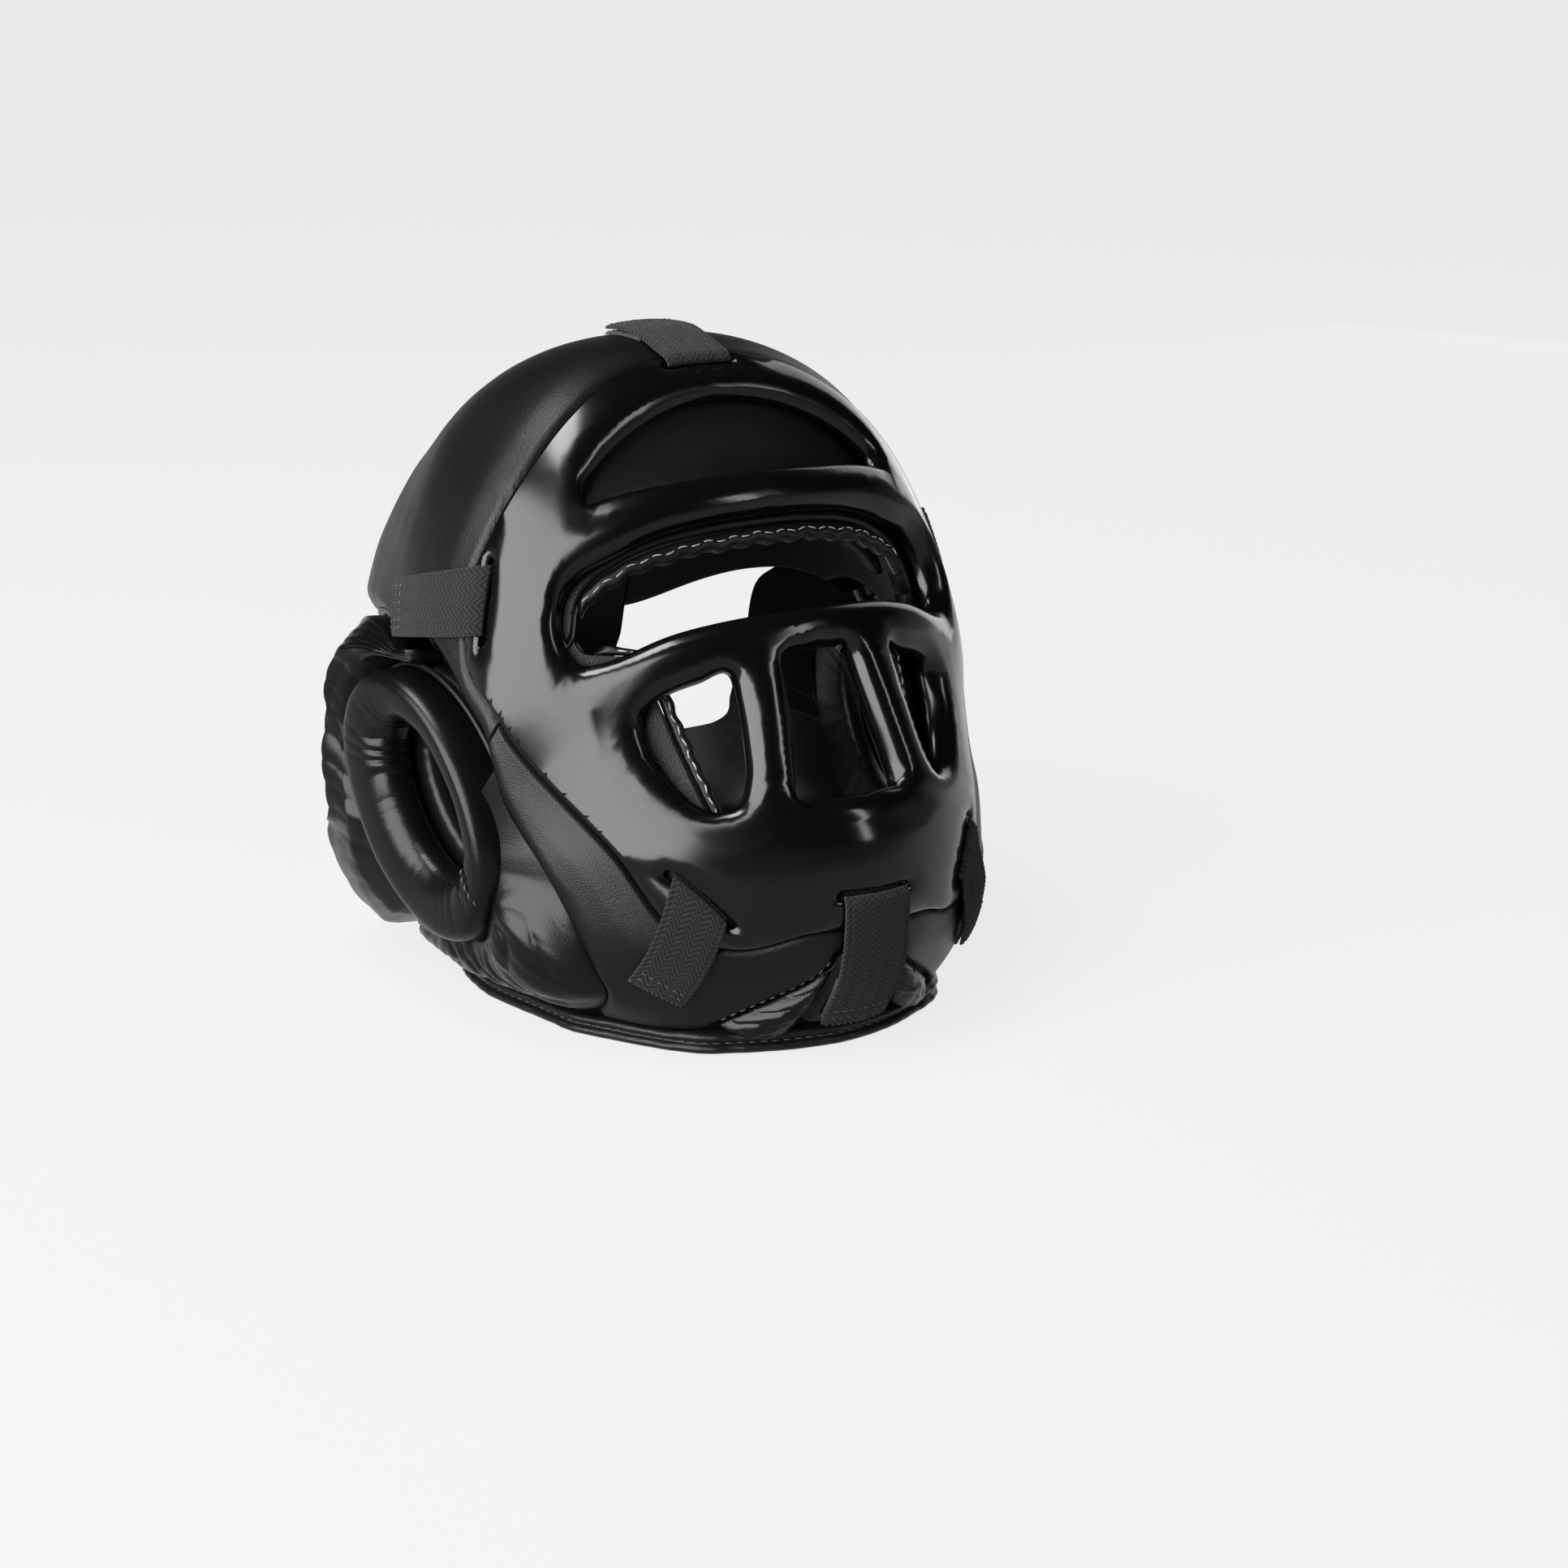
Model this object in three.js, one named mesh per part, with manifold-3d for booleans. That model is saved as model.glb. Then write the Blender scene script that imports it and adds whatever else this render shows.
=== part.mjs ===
// Boxing headgear: a padded leather shell with a removable moulded face cage held by six webbing tabs.
// Millimetres, +Z up, face towards -Y, the wearer's left towards +X. It stands on its bottom rim at z = 0.
import * as THREE from "three";
import { mergeVertices } from "three/addons/utils/BufferGeometryUtils.js";
import Module from "manifold-3d";

const wasm = await Module();
wasm.setup();

// The outer skin is swept round the ear axis, a line along X through both ears.
const EAR_AXIS = { y: -19.38, z: 60 };
const HALF_WIDTH = 105.9;
// [angle round the ear axis: 0 forward, 90 up, 180 back; distance to the skin on the middle line]
const REACH = [
  [-145, 108], [-134, 92], [-120, 81], [-90, 72], [-65, 78], [-45, 94], [-36, 100.5],
  [-25, 102.8], [-11, 105.9], [8, 103.7], [24, 99.8], [40, 101.2], [55, 108.9], [68, 122.6],
  [80, 138.7], [92, 160.5], [108, 171.3], [125, 169.5], [142, 166.5], [160, 156.5], [185, 143],
  [200, 134], [210, 118], [215, 108], [226, 92], [240, 81], [270, 72],
];
// [angle round the ear axis; how square the skin is across: 2 is round, more is squarer]
const SQUARENESS = [
  [-120, 2.2], [-90, 2.1], [-45, 1.92], [0, 1.6], [45, 1.74], [80, 2.4], [100, 2.55], [140, 2.42],
  [215, 2.3], [240, 2.2], [270, 2.1],
];
const NOSE_BLUNTNESS = 0.08;
const RIM_TOP = 9.4;
const RIM_HEIGHT = 8;

const CAGE_WALL = 3.4;
const BAR_DEPTH = 10;
const CREST_LIP_DEPTH = 6.2;
const LIP_WALL = 3.2;
const UNDER_CAGE = -6.8;
const BEHIND_BARS = -11.8;
const PAD_INSIDE = -18;
const LINER_GAP = 2;
const LINER_INSIDE = -27;

const WEBBING = 1.5;
const SLOT_WIDTH = 4;
const SLOT_LENGTH = 30;

// Ovals of the stuffed ear ring and its hole, from the ear axis; lean is the top's tilt backwards.
const EAR_RING = { back: 19.5, up: 13.5, long: 50, short: 33.5, lean: 38 };
const EAR_HOLE = { back: 14.8, up: 16.5, long: 29, short: 17, lean: 40 };
const EAR_PLANE = { x: 97.4, slope: 0.13 };
const RING_HALF_HEIGHT = 9;

const leather = (name) => material(name, 0x141414, 0.38, 0);
const GLOSSY = material("moulded_plastic", 0x0b0b0c, 0.12, 0);
const GRAINED = leather("grained_leather");
const SMOOTH = material("smooth_leather", 0x181819, 0.28, 0);
const LINING = material("lining", 0x101011, 0.5, 0);
const WEB = material("webbing", 0x303031, 0.9, 0);
const LOOP = material("loop_pile", 0x0a0a0a, 1, 0);
const BINDING = material("binding", 0x121213, 0.45, 0);

function material(name, color, roughness, metalness) {
  const made = new THREE.MeshStandardMaterial({ color, roughness, metalness });
  made.name = name;
  return made;
}

// ---------- curves and the skin ----------

const lerp = (from, to, part) => from + (to - from) * part;
const radians = (degrees) => (degrees * Math.PI) / 180;

// Straight lines through [position, value] pairs.
function ramp(knots, at) {
  if (at <= knots[0][0]) return knots[0][1];
  for (let i = 1; i < knots.length; i += 1) {
    const [before, low] = knots[i - 1];
    const [after, high] = knots[i];
    if (at <= after) return lerp(low, high, (at - before) / (after - before));
  }
  return knots[knots.length - 1][1];
}

// A smooth curve through [position, value] pairs.
function through(knots, at) {
  const last = knots.length - 1;
  if (at <= knots[0][0]) return knots[0][1];
  if (at >= knots[last][0]) return knots[last][1];
  const slope = (i) => {
    const [x0, y0] = knots[Math.max(i - 1, 0)];
    const [x1, y1] = knots[Math.min(i + 1, last)];
    return (y1 - y0) / (x1 - x0);
  };
  const i = knots.findIndex(([x]) => x > at) - 1;
  const [x0, y0] = knots[i];
  const [x1, y1] = knots[i + 1];
  const span = x1 - x0;
  const s = (at - x0) / span;
  const bend0 = (1 + 2 * s) * (1 - s) ** 2 * y0 + s * (1 - s) ** 2 * span * slope(i);
  const bend1 = s * s * (3 - 2 * s) * y1 + s * s * (s - 1) * span * slope(i + 1);
  return bend0 + bend1;
}

// Distance from the ear axis of the skin point at this angle and this far out to the side.
function reachAt(around, side) {
  const power = through(SQUARENESS, around);
  const blunt = NOSE_BLUNTNESS ** power;
  const wide = Math.min(Math.abs(side) / HALF_WIDTH, 0.9995);
  const bent = (wide ** 2 + NOSE_BLUNTNESS ** 2) ** (power / 2) - blunt;
  const full = (1 + NOSE_BLUNTNESS ** 2) ** (power / 2) - blunt;
  return through(REACH, around) * (1 - bent / full) ** (1 / power);
}

// The side distance of the skin point at this angle and this far from the ear axis.
function sideAt(around, reach) {
  const power = through(SQUARENESS, around);
  const blunt = NOSE_BLUNTNESS ** power;
  const full = (1 + NOSE_BLUNTNESS ** 2) ** (power / 2) - blunt;
  const part = Math.min(reach / through(REACH, around), 1);
  const bent = (1 - part ** power) * full + blunt;
  return HALF_WIDTH * Math.sqrt(Math.max(bent ** (2 / power) - NOSE_BLUNTNESS ** 2, 0));
}

function bareSkin(around, side) {
  const reach = reachAt(around, side);
  const angle = radians(around);
  return new THREE.Vector3(
    side,
    EAR_AXIS.y - reach * Math.cos(angle),
    EAR_AXIS.z + reach * Math.sin(angle),
  );
}

// The point on the skin at this angle and side, lifted off it (positive outwards).
function skin(around, side, lift = 0) {
  const here = bareSkin(around, side);
  if (lift === 0) return here;
  const step = 0.4;
  const limit = HALF_WIDTH - 2 * step;
  const held = Math.max(-limit, Math.min(limit, side));
  const along = bareSkin(around + step, held).sub(bareSkin(around - step, held));
  const across = bareSkin(around, held + step).sub(bareSkin(around, held - step));
  const normal = across.cross(along).normalize();
  const outwards = here.clone().sub(new THREE.Vector3(0, EAR_AXIS.y, EAR_AXIS.z));
  if (normal.dot(outwards) < 0) normal.negate();
  return here.addScaledVector(normal, lift);
}

// Equal steps of this angle give even steps over the skin from the middle line to the side.
const turnOf = (side) => Math.asin(Math.max(-1, Math.min(1, side / HALF_WIDTH)));
const sideOf = (turn) => HALF_WIDTH * Math.sin(turn);
const between = (a, b, part) => sideOf(lerp(turnOf(a), turnOf(b), part));

// ---------- solids ----------

function meshOf(name, geometry, look) {
  const mesh = new THREE.Mesh(geometry, look);
  mesh.name = name;
  return mesh;
}

function facingOut(positions, triangles) {
  let volume = 0;
  const [a, b, c] = [new THREE.Vector3(), new THREE.Vector3(), new THREE.Vector3()];
  for (let i = 0; i < triangles.length; i += 3) {
    a.fromArray(positions, 3 * triangles[i]);
    b.fromArray(positions, 3 * triangles[i + 1]);
    c.fromArray(positions, 3 * triangles[i + 2]);
    volume += a.dot(b.cross(c));
  }
  if (volume < 0) {
    for (let i = 0; i < triangles.length; i += 3) {
      [triangles[i + 1], triangles[i + 2]] = [triangles[i + 2], triangles[i + 1]];
    }
  }
  const geometry = new THREE.BufferGeometry();
  geometry.setAttribute("position", new THREE.Float32BufferAttribute(positions, 3));
  geometry.setIndex(triangles);
  return geometry;
}

// A slab of columns x rows cells; place(u, v, top) gives its bottom (0) and top (1) points.
function slab(columns, rows, place) {
  const positions = [];
  const triangles = [];
  const index = (i, j, top) => ((top * (rows + 1)) + j) * (columns + 1) + i;
  for (const top of [0, 1]) {
    for (let j = 0; j <= rows; j += 1) {
      for (let i = 0; i <= columns; i += 1) {
        positions.push(...place(i / columns, j / rows, top).toArray());
      }
    }
  }
  const quad = (a, b, c, d) => triangles.push(a, b, c, a, c, d);
  for (let j = 0; j < rows; j += 1) {
    for (let i = 0; i < columns; i += 1) {
      quad(index(i, j, 1), index(i + 1, j, 1), index(i + 1, j + 1, 1), index(i, j + 1, 1));
      quad(index(i, j, 0), index(i, j + 1, 0), index(i + 1, j + 1, 0), index(i + 1, j, 0));
    }
  }
  for (let i = 0; i < columns; i += 1) {
    quad(index(i, 0, 0), index(i + 1, 0, 0), index(i + 1, 0, 1), index(i, 0, 1));
    quad(index(i + 1, rows, 0), index(i, rows, 0), index(i, rows, 1), index(i + 1, rows, 1));
  }
  for (let j = 0; j < rows; j += 1) {
    quad(index(0, j + 1, 0), index(0, j, 0), index(0, j, 1), index(0, j + 1, 1));
    quad(index(columns, j, 0), index(columns, j + 1, 0), index(columns, j + 1, 1), index(columns, j, 1));
  }
  return facingOut(positions, triangles);
}

// A ring-shaped solid: sections round a closed path; place(s, a) with both running from 0 to 1.
function loop(sections, sides, place) {
  const positions = [];
  const triangles = [];
  for (let i = 0; i < sections; i += 1) {
    for (let j = 0; j < sides; j += 1) {
      positions.push(...place(i / sections, j / sides).toArray());
    }
  }
  for (let i = 0; i < sections; i += 1) {
    for (let j = 0; j < sides; j += 1) {
      const [k, m] = [(i + 1) % sections, (j + 1) % sides];
      const [a, b] = [i * sides + j, k * sides + j];
      const [c, d] = [k * sides + m, i * sides + m];
      triangles.push(a, b, c, a, c, d);
    }
  }
  return facingOut(positions, triangles);
}

// A patch inside a closed outline of [around, side] points, in rings round its middle.
function patch(outline, rings, bottom, top) {
  const middle = [0, 1].map((k) => outline.reduce((sum, p) => sum + p[k], 0) / outline.length);
  const count = outline.length;
  const positions = [];
  const triangles = [];
  for (const lift of [bottom, top]) {
    positions.push(...skin(...middle, lift).toArray());
    for (let r = 1; r <= rings; r += 1) {
      for (const point of outline) {
        const around = lerp(middle[0], point[0], r / rings);
        positions.push(...skin(around, between(middle[1], point[1], r / rings), lift).toArray());
      }
    }
  }
  const half = 1 + rings * count;
  const index = (r, i, side) => side * half + (r === 0 ? 0 : 1 + (r - 1) * count + (i % count));
  const quad = (a, b, c, d) => triangles.push(a, b, c, a, c, d);
  for (let i = 0; i < count; i += 1) {
    triangles.push(index(0, 0, 1), index(1, i, 1), index(1, i + 1, 1));
    triangles.push(index(0, 0, 0), index(1, i + 1, 0), index(1, i, 0));
    for (let r = 1; r < rings; r += 1) {
      quad(index(r, i, 1), index(r + 1, i, 1), index(r + 1, i + 1, 1), index(r, i + 1, 1));
      quad(index(r, i, 0), index(r, i + 1, 0), index(r + 1, i + 1, 0), index(r + 1, i, 0));
    }
    quad(index(rings, i, 0), index(rings, i + 1, 0), index(rings, i + 1, 1), index(rings, i, 1));
  }
  return facingOut(positions, triangles);
}

function solid(geometry) {
  const bare = geometry.clone();
  bare.deleteAttribute("normal");
  bare.deleteAttribute("uv");
  const merged = mergeVertices(bare, 1e-4);
  return new wasm.Manifold(
    new wasm.Mesh({
      numProp: 3,
      vertProperties: merged.getAttribute("position").array,
      triVerts: new Uint32Array(merged.getIndex().array),
    }),
  );
}

function geometryOf(manifold) {
  const made = manifold.getMesh();
  const geometry = new THREE.BufferGeometry();
  geometry.setAttribute("position", new THREE.Float32BufferAttribute(made.vertProperties, 3));
  geometry.setIndex([...made.triVerts]);
  return geometry;
}

// ---------- outlines on the skin, [angle round the ear axis, distance to the side] ----------

// A closed smooth outline with evenly spread points through the given corners.
function smoothOutline(corners, count) {
  const points = corners.map(([around, side]) => new THREE.Vector3(around, side, 0));
  const curve = new THREE.CatmullRomCurve3(points, true, "centripetal");
  return curve.getSpacedPoints(count).slice(0, count).map((p) => [p.x, p.y]);
}

const mirrored = (half) => [...half, ...half.map(([a, s]) => [a, -s]).reverse()];

// Each outline of the right half starts on the middle line and runs round to it again.
const EYE_OPENING = [
  [70.2, 6], [70.6, 24], [71.6, 43], [72.6, 60], [73.8, 70], [73.6, 75.5], [71.5, 78.5], [68.5, 79.3],
  [65, 78.2], [61.5, 75.5], [59.5, 71], [58, 64], [56.8, 48], [55.4, 31], [54.4, 16], [54, 5],
];
const CREST_OPENING = [
  [76.1, 5], [76.4, 23], [77.7, 40], [79.5, 54], [81, 61], [82.3, 60.5], [83.6, 54], [84.6, 44],
  [85.8, 27], [86.5, 13], [86.7, 4],
];
const SIDE_OPENING = [
  [46.6, 33], [47, 43], [47.2, 54], [46, 61], [41.5, 61.8], [34, 60], [26.7, 56.6], [21.2, 52],
  [18.6, 46], [19.6, 40.5], [25, 36.4], [33, 34.2], [41, 33],
];
const MOUTH_OPENING = [
  [47.2, 0], [47.2, 8], [46.6, 14.6], [41, 16.2], [32, 18.8], [23, 21.4], [18.6, 21.8],
  [17.9, 12], [17.8, 0],
];

// Moves each outline point away from the outline's inside by a distance over the skin.
function grown(outline, distance) {
  const count = outline.length;
  return outline.map(([around, side], i) => {
    const before = skin(...outline[(i + count - 1) % count]);
    const after = skin(...outline[(i + 1) % count]);
    const here = skin(around, side);
    const along = skin(around + 0.5, side).sub(skin(around - 0.5, side));
    const across = skin(around, side + 0.5).sub(skin(around, side - 0.5));
    const tangent = after.sub(before);
    const normal = tangent.cross(across.clone().cross(along)).normalize();
    const middle = outline.reduce((sum, p) => sum.add(skin(...p)), new THREE.Vector3());
    if (normal.dot(here.sub(middle.divideScalar(count))) < 0) normal.negate();
    const stretch = along.dot(across) / along.lengthSq();
    const sideways = across.clone().addScaledVector(along, -stretch);
    const moveSide = (distance * normal.dot(sideways)) / sideways.lengthSq();
    const moveAround = (distance * normal.dot(along)) / along.lengthSq() - moveSide * stretch;
    return [around + moveAround, side + moveSide];
  });
}

// ---------- face cage ----------

// [angle, side] of the cage's rear edge, from the jaw up to the temple.
const CAGE_SIDE = [
  [-12, 62], [-2.4, 68.2], [10, 74], [25, 80.7], [36, 85], [51, 90.4], [61, 94.4], [75, 98.2],
  [84, 99.6], [88, 98.5],
];
// [part of the way out from the middle line, angle] of its lower and upper edges.
const CAGE_CHIN_EDGE = [
  [0, -7], [0.35, -8.4], [0.55, -11.8], [0.7, -12.7], [0.85, -11], [0.95, -7], [1, -3],
];
const CAGE_CROWN_EDGE = [
  [0, 94], [0.2, 93.2], [0.42, 91], [0.62, 89.8], [0.82, 90.2], [0.94, 91.2], [1, 88],
];

function cagePoint(u, v, lift) {
  const out = Math.abs(2 * u - 1);
  const around = lerp(through(CAGE_CHIN_EDGE, out), through(CAGE_CROWN_EDGE, out), v);
  const reference = lerp(-3, 88, v);
  const side = Math.sign(2 * u - 1) * sideOf(out * turnOf(through(CAGE_SIDE, reference)));
  return skin(around, side, lift);
}

function slotCutter(middle, direction) {
  const slot = new THREE.BoxGeometry(SLOT_LENGTH, SLOT_WIDTH, 16);
  slot.applyMatrix4(frameAt(middle, direction));
  return solid(slot);
}

// A frame on the skin: X along the slot, Z outwards.
function frameAt([around, side], [towardsAround, towardsSide]) {
  const here = skin(around, side);
  const outwards = skin(around, side, 1).sub(here);
  const along = skin(towardsAround, towardsSide).sub(here);
  along.addScaledVector(outwards, -along.dot(outwards)).normalize();
  const across = outwards.clone().cross(along);
  return new THREE.Matrix4().makeBasis(along, across, outwards).setPosition(here);
}

// Tabs of the right half and the middle: slot ends and the flap's far corners. A straight one runs
// between them in space, and the others follow the skin.
const TABS = {
  top: { slot: [[91.4, 12.7], [91.4, -12.7]], end: [[105, 12.7], [105, -12.7]], cells: 6 },
  chin: { slot: [[-1.2, -12.7], [-1.2, 12.7]], end: [[-28.6, -12.7], [-28.6, 12.7]], cells: 8 },
  temple_right: {
    slot: [[86.9, -88.6], [82.9, -95.2]],
    end: [[117, -94.8], [119, -99.6]],
    cells: 8,
    straight: true,
  },
  cheek_right: { slot: [[4.4, -61.2], [-6.4, -48]], end: [[-24.9, -70.9], [-28, -56]], cells: 6 },
};
for (const place of ["temple", "cheek"]) {
  const right = TABS[`${place}_right`];
  const turned = ([start, finish]) => [finish, start].map(([around, side]) => [around, -side]);
  TABS[`${place}_left`] = { ...right, slot: turned(right.slot), end: turned(right.end) };
}

function middleOf([[a0, s0], [a1, s1]]) {
  return [(a0 + a1) / 2, between(s0, s1, 0.5)];
}

function faceCage() {
  let cage = solid(slab(32, 18, (u, v, top) => cagePoint(u, v, top ? 0 : -CAGE_WALL)));
  const right = (outline) => outline.map(([around, side]) => [around, -side]);
  const openings = [
    { outline: smoothOutline(mirrored(EYE_OPENING), 40), rings: 3, depth: BAR_DEPTH },
    { outline: smoothOutline(mirrored(CREST_OPENING), 30), rings: 2, depth: CREST_LIP_DEPTH },
    { outline: smoothOutline(SIDE_OPENING, 18), rings: 2, depth: BAR_DEPTH },
    { outline: right(smoothOutline(SIDE_OPENING, 18)), rings: 2, depth: BAR_DEPTH },
    { outline: mouthOutline(), rings: 2, depth: BAR_DEPTH },
  ];
  for (const { outline, rings, depth } of openings) {
    cage = cage.add(solid(patch(grown(outline, LIP_WALL), rings, -depth, -0.6)));
  }
  for (const { outline, rings } of openings) {
    cage = cage.subtract(solid(patch(outline, rings, -BAR_DEPTH - 6, 5)));
  }
  for (const { slot } of Object.values(TABS)) {
    cage = cage.subtract(slotCutter(middleOf(slot), slot[0]));
  }
  return geometryOf(cage);
}

function mouthOutline() {
  const half = MOUTH_OPENING.slice(1, -1);
  const points = [...MOUTH_OPENING, ...half.map(([a, s]) => [a, -s]).reverse()];
  return smoothOutline(points, 20);
}

// ---------- padded shell ----------

const CHEEK_FRONT = [
  [-60, 46], [-40, 43.5], [-10, 35], [5, 44], [20, 50], [35, 54], [50, 57], [55, 58.5], [57.5, 62],
  [60, 68.5], [63, 74.5], [66.5, 77],
];
// [distance to the side, angle] of the dome's front edge over the eyes.
const BROW_EDGE = [
  [0, 70], [24, 70.4], [43, 71.4], [60, 72.4], [70, 72.6], [75.5, 71], [78, 67.8], [100, 67.2],
];
const CHEEK_REAR = [
  [-60, 69], [-50, 71], [-35, 74], [-29, 78.5], [-15, 84.5], [7, 89.5], [39, 94.6], [66.5, 99.6],
];
const CHIN_HALF_WIDTH = 22;
const DOME_REAR = [[0, 164], [0.4, 161], [0.6, 155], [0.8, 143], [1, 123]];
const DOME_SIDE = [[0, 100.2], [0.4, 102.4], [1, 98.6]];
const WING_REAR = [
  [118, 100.6], [123, 99.8], [143, 89.5], [160, 88], [175, 83], [182, 77], [185.5, 52], [188.5, 36],
  [230, 30],
];
const NAPE_SIDE = [[159, 58], [165, 60], [172, 62], [182, 66], [190, 60], [212, 50]];

// How far a pad's face lies below the skin: deep behind the bars, close under the cage, full where bare.
function padLift(around, side) {
  const out = Math.abs(side);
  const edge = through(CAGE_SIDE, around);
  const beside = [[edge - 9, BEHIND_BARS], [edge - 5, UNDER_CAGE], [edge, UNDER_CAGE], [edge + 4, -1.4]];
  const above = [[80, BEHIND_BARS], [87.5, -7.6], [93.5, UNDER_CAGE], [97, -3], [103, -0.6], [108, 0]];
  const below = [[-22, -0.8], [-17, -2], [-13.5, UNDER_CAGE], [6, UNDER_CAGE], [13, BEHIND_BARS]];
  return Math.max(ramp(beside, out), ramp(above, around), ramp(below, around));
}

// The angle at which the skin, this far out to the side, comes down to a height over the rim.
function angleAtHeight(side, height, atBack) {
  let [high, low] = atBack ? [185, 265] : [0, -89];
  for (let i = 0; i < 40; i += 1) {
    const middle = (high + low) / 2;
    if (bareSkin(middle, side).z > height) high = middle;
    else low = middle;
  }
  return low;
}

// Distance from the ear axis to the oval round the ear, grown by some millimetres.
function ovalReach(around, oval, grow) {
  let [inside, outside] = [0, 150];
  const angle = radians(around);
  for (let i = 0; i < 40; i += 1) {
    const reach = (inside + outside) / 2;
    const y = -reach * Math.cos(angle) - oval.back;
    const z = reach * Math.sin(angle) - oval.up;
    const lean = radians(oval.lean);
    const along = y * Math.sin(lean) + z * Math.cos(lean);
    const across = y * Math.cos(lean) - z * Math.sin(lean);
    const part = Math.hypot(along / (oval.long + grow), across / (oval.short + grow));
    if (part < 1) inside = reach;
    else outside = reach;
  }
  return outside;
}

function domePad() {
  return slab(18, 12, (u, v, top) => {
    const out = 2 * u - 1;
    const front = through(BROW_EDGE, sideOf(Math.abs(out) * turnOf(DOME_SIDE[0][1])));
    const around = lerp(front, through(DOME_REAR, Math.abs(out)), v);
    const side = sideOf(out * turnOf(through(DOME_SIDE, v)));
    const rolled = 3 * Math.max(ramp([[0.86, 0], [1, 1]], v), ramp([[0.9, 0], [1, 1]], Math.abs(out)));
    return skin(around, side, top ? padLift(around, side) - rolled : PAD_INSIDE);
  });
}

function cheekPad(hand) {
  return slab(9, 18, (u, v, top) => {
    const rimFront = angleAtHeight(43.5, RIM_TOP, false);
    const rimRear = angleAtHeight(69.5, RIM_TOP, false);
    const around = lerp(lerp(rimFront, rimRear, u), 66.6, v);
    const side = between(through(CHEEK_FRONT, around), through(CHEEK_REAR, around), u);
    const rolled = 3 * ramp([[0.86, 0], [1, 1]], u);
    return skin(around, hand * side, top ? padLift(around, side) - rolled : PAD_INSIDE);
  });
}

function chinPad() {
  return slab(8, 8, (u, v, top) => {
    const side = lerp(-CHIN_HALF_WIDTH, CHIN_HALF_WIDTH, u);
    const around = lerp(angleAtHeight(Math.abs(side), RIM_TOP, false), 4, v);
    return skin(around, side, top ? padLift(around, side) : PAD_INSIDE);
  });
}

function chinGusset(hand) {
  return slab(3, 8, (u, v, top) => {
    const lowest = angleAtHeight(lerp(CHIN_HALF_WIDTH + 0.6, 42.5, u), RIM_TOP, false);
    const around = lerp(lowest, 4, v);
    const side = lerp(CHIN_HALF_WIDTH + 0.6, through(CHEEK_FRONT, around) - 0.8, u);
    return skin(around, hand * side, top ? padLift(around, side) - 0.6 : PAD_INSIDE);
  });
}

function skirt(hand) {
  return slab(12, 3, (u, v, top) => {
    const around = lerp(-14, -134, u);
    const inner = ovalReach(around, EAR_RING, 4);
    const rim = (EAR_AXIS.z - RIM_TOP) / Math.sin(radians(-around));
    const strip = around > -60 ? reachAt(around, through(CHEEK_REAR, around) + 1.4) : rim;
    const side = sideAt(around, lerp(inner, Math.min(rim, strip), v));
    const full = -2 + 7 * Math.sin(Math.PI * v);
    return skin(around, hand * side, top ? full : -14);
  });
}

function wing(hand) {
  return slab(7, 12, (u, v, top) => {
    const rearLow = angleAtHeight(30, RIM_TOP + 1, true);
    const frontLow = 222;
    const around = lerp(118, lerp(frontLow, rearLow, u), v);
    const ringSide = sideAt(around, ovalReach(around, EAR_RING, 4));
    const side = between(ringSide, through(WING_REAR, around), u);
    const full = ramp([[0, 0.5], [0.3, 14], [0.6, 8.5], [0.82, 2.8], [1, 1]], u);
    const fade = ramp([[0, 0.2], [0.2, 1], [0.75, 1], [1, 0.3]], v);
    const inside = ramp([[166, -14], [175, -7]], around);
    return skin(around, hand * side, top ? full * fade : inside);
  });
}

function napePad() {
  return slab(10, 10, (u, v, top) => {
    const lowest = angleAtHeight(50, RIM_TOP + 6, true) - 14;
    const out = Math.abs(2 * u - 1);
    const around = lerp(through(DOME_REAR, 0.48 * out) + 2, Math.min(lowest, 203), v);
    const side = (2 * u - 1) * through(NAPE_SIDE, around);
    return skin(around, side, top ? ramp([[165, -2.5], [172, -4.5], [178, -11]], around) : -20);
  });
}

// A layer under the pads, as wide as the given half width. Its two edges are angles that depend on how
// far out they are, from 0 in the middle to 1 at the sides.
function liner(low, high, halfWidth, columns, rows) {
  return slab(columns, rows, (u, v, top) => {
    const side = sideOf((2 * u - 1) * turnOf(halfWidth));
    const out = Math.abs(2 * u - 1);
    return skin(lerp(low(out), high(out), v), side, top ? PAD_INSIDE - LINER_GAP : LINER_INSIDE);
  });
}

function sideLiner(hand) {
  return slab(4, 8, (u, v, top) => {
    const around = lerp(-24, 63, v);
    const front = through(CHEEK_FRONT, around) + 2;
    const side = between(front, through(CHEEK_REAR, around) - 3, u);
    return skin(around, hand * side, top ? PAD_INSIDE - LINER_GAP : LINER_INSIDE);
  });
}

function browBinding() {
  return slab(24, 1, (u, v, top) => {
    const side = sideOf((2 * u - 1) * turnOf(68));
    const edge = through(BROW_EDGE, Math.abs(side));
    return skin(edge - lerp(2.6, 0.4, v), side, top ? -12 : -17);
  });
}

function cheekBinding(hand) {
  return slab(1, 24, (u, v, top) => {
    const around = lerp(7, 57, v);
    const side = through(CHEEK_FRONT, around) - lerp(4.2, 1.3, u);
    return skin(around, hand * side, top ? -12 : -17);
  });
}

// ---------- ears ----------

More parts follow.
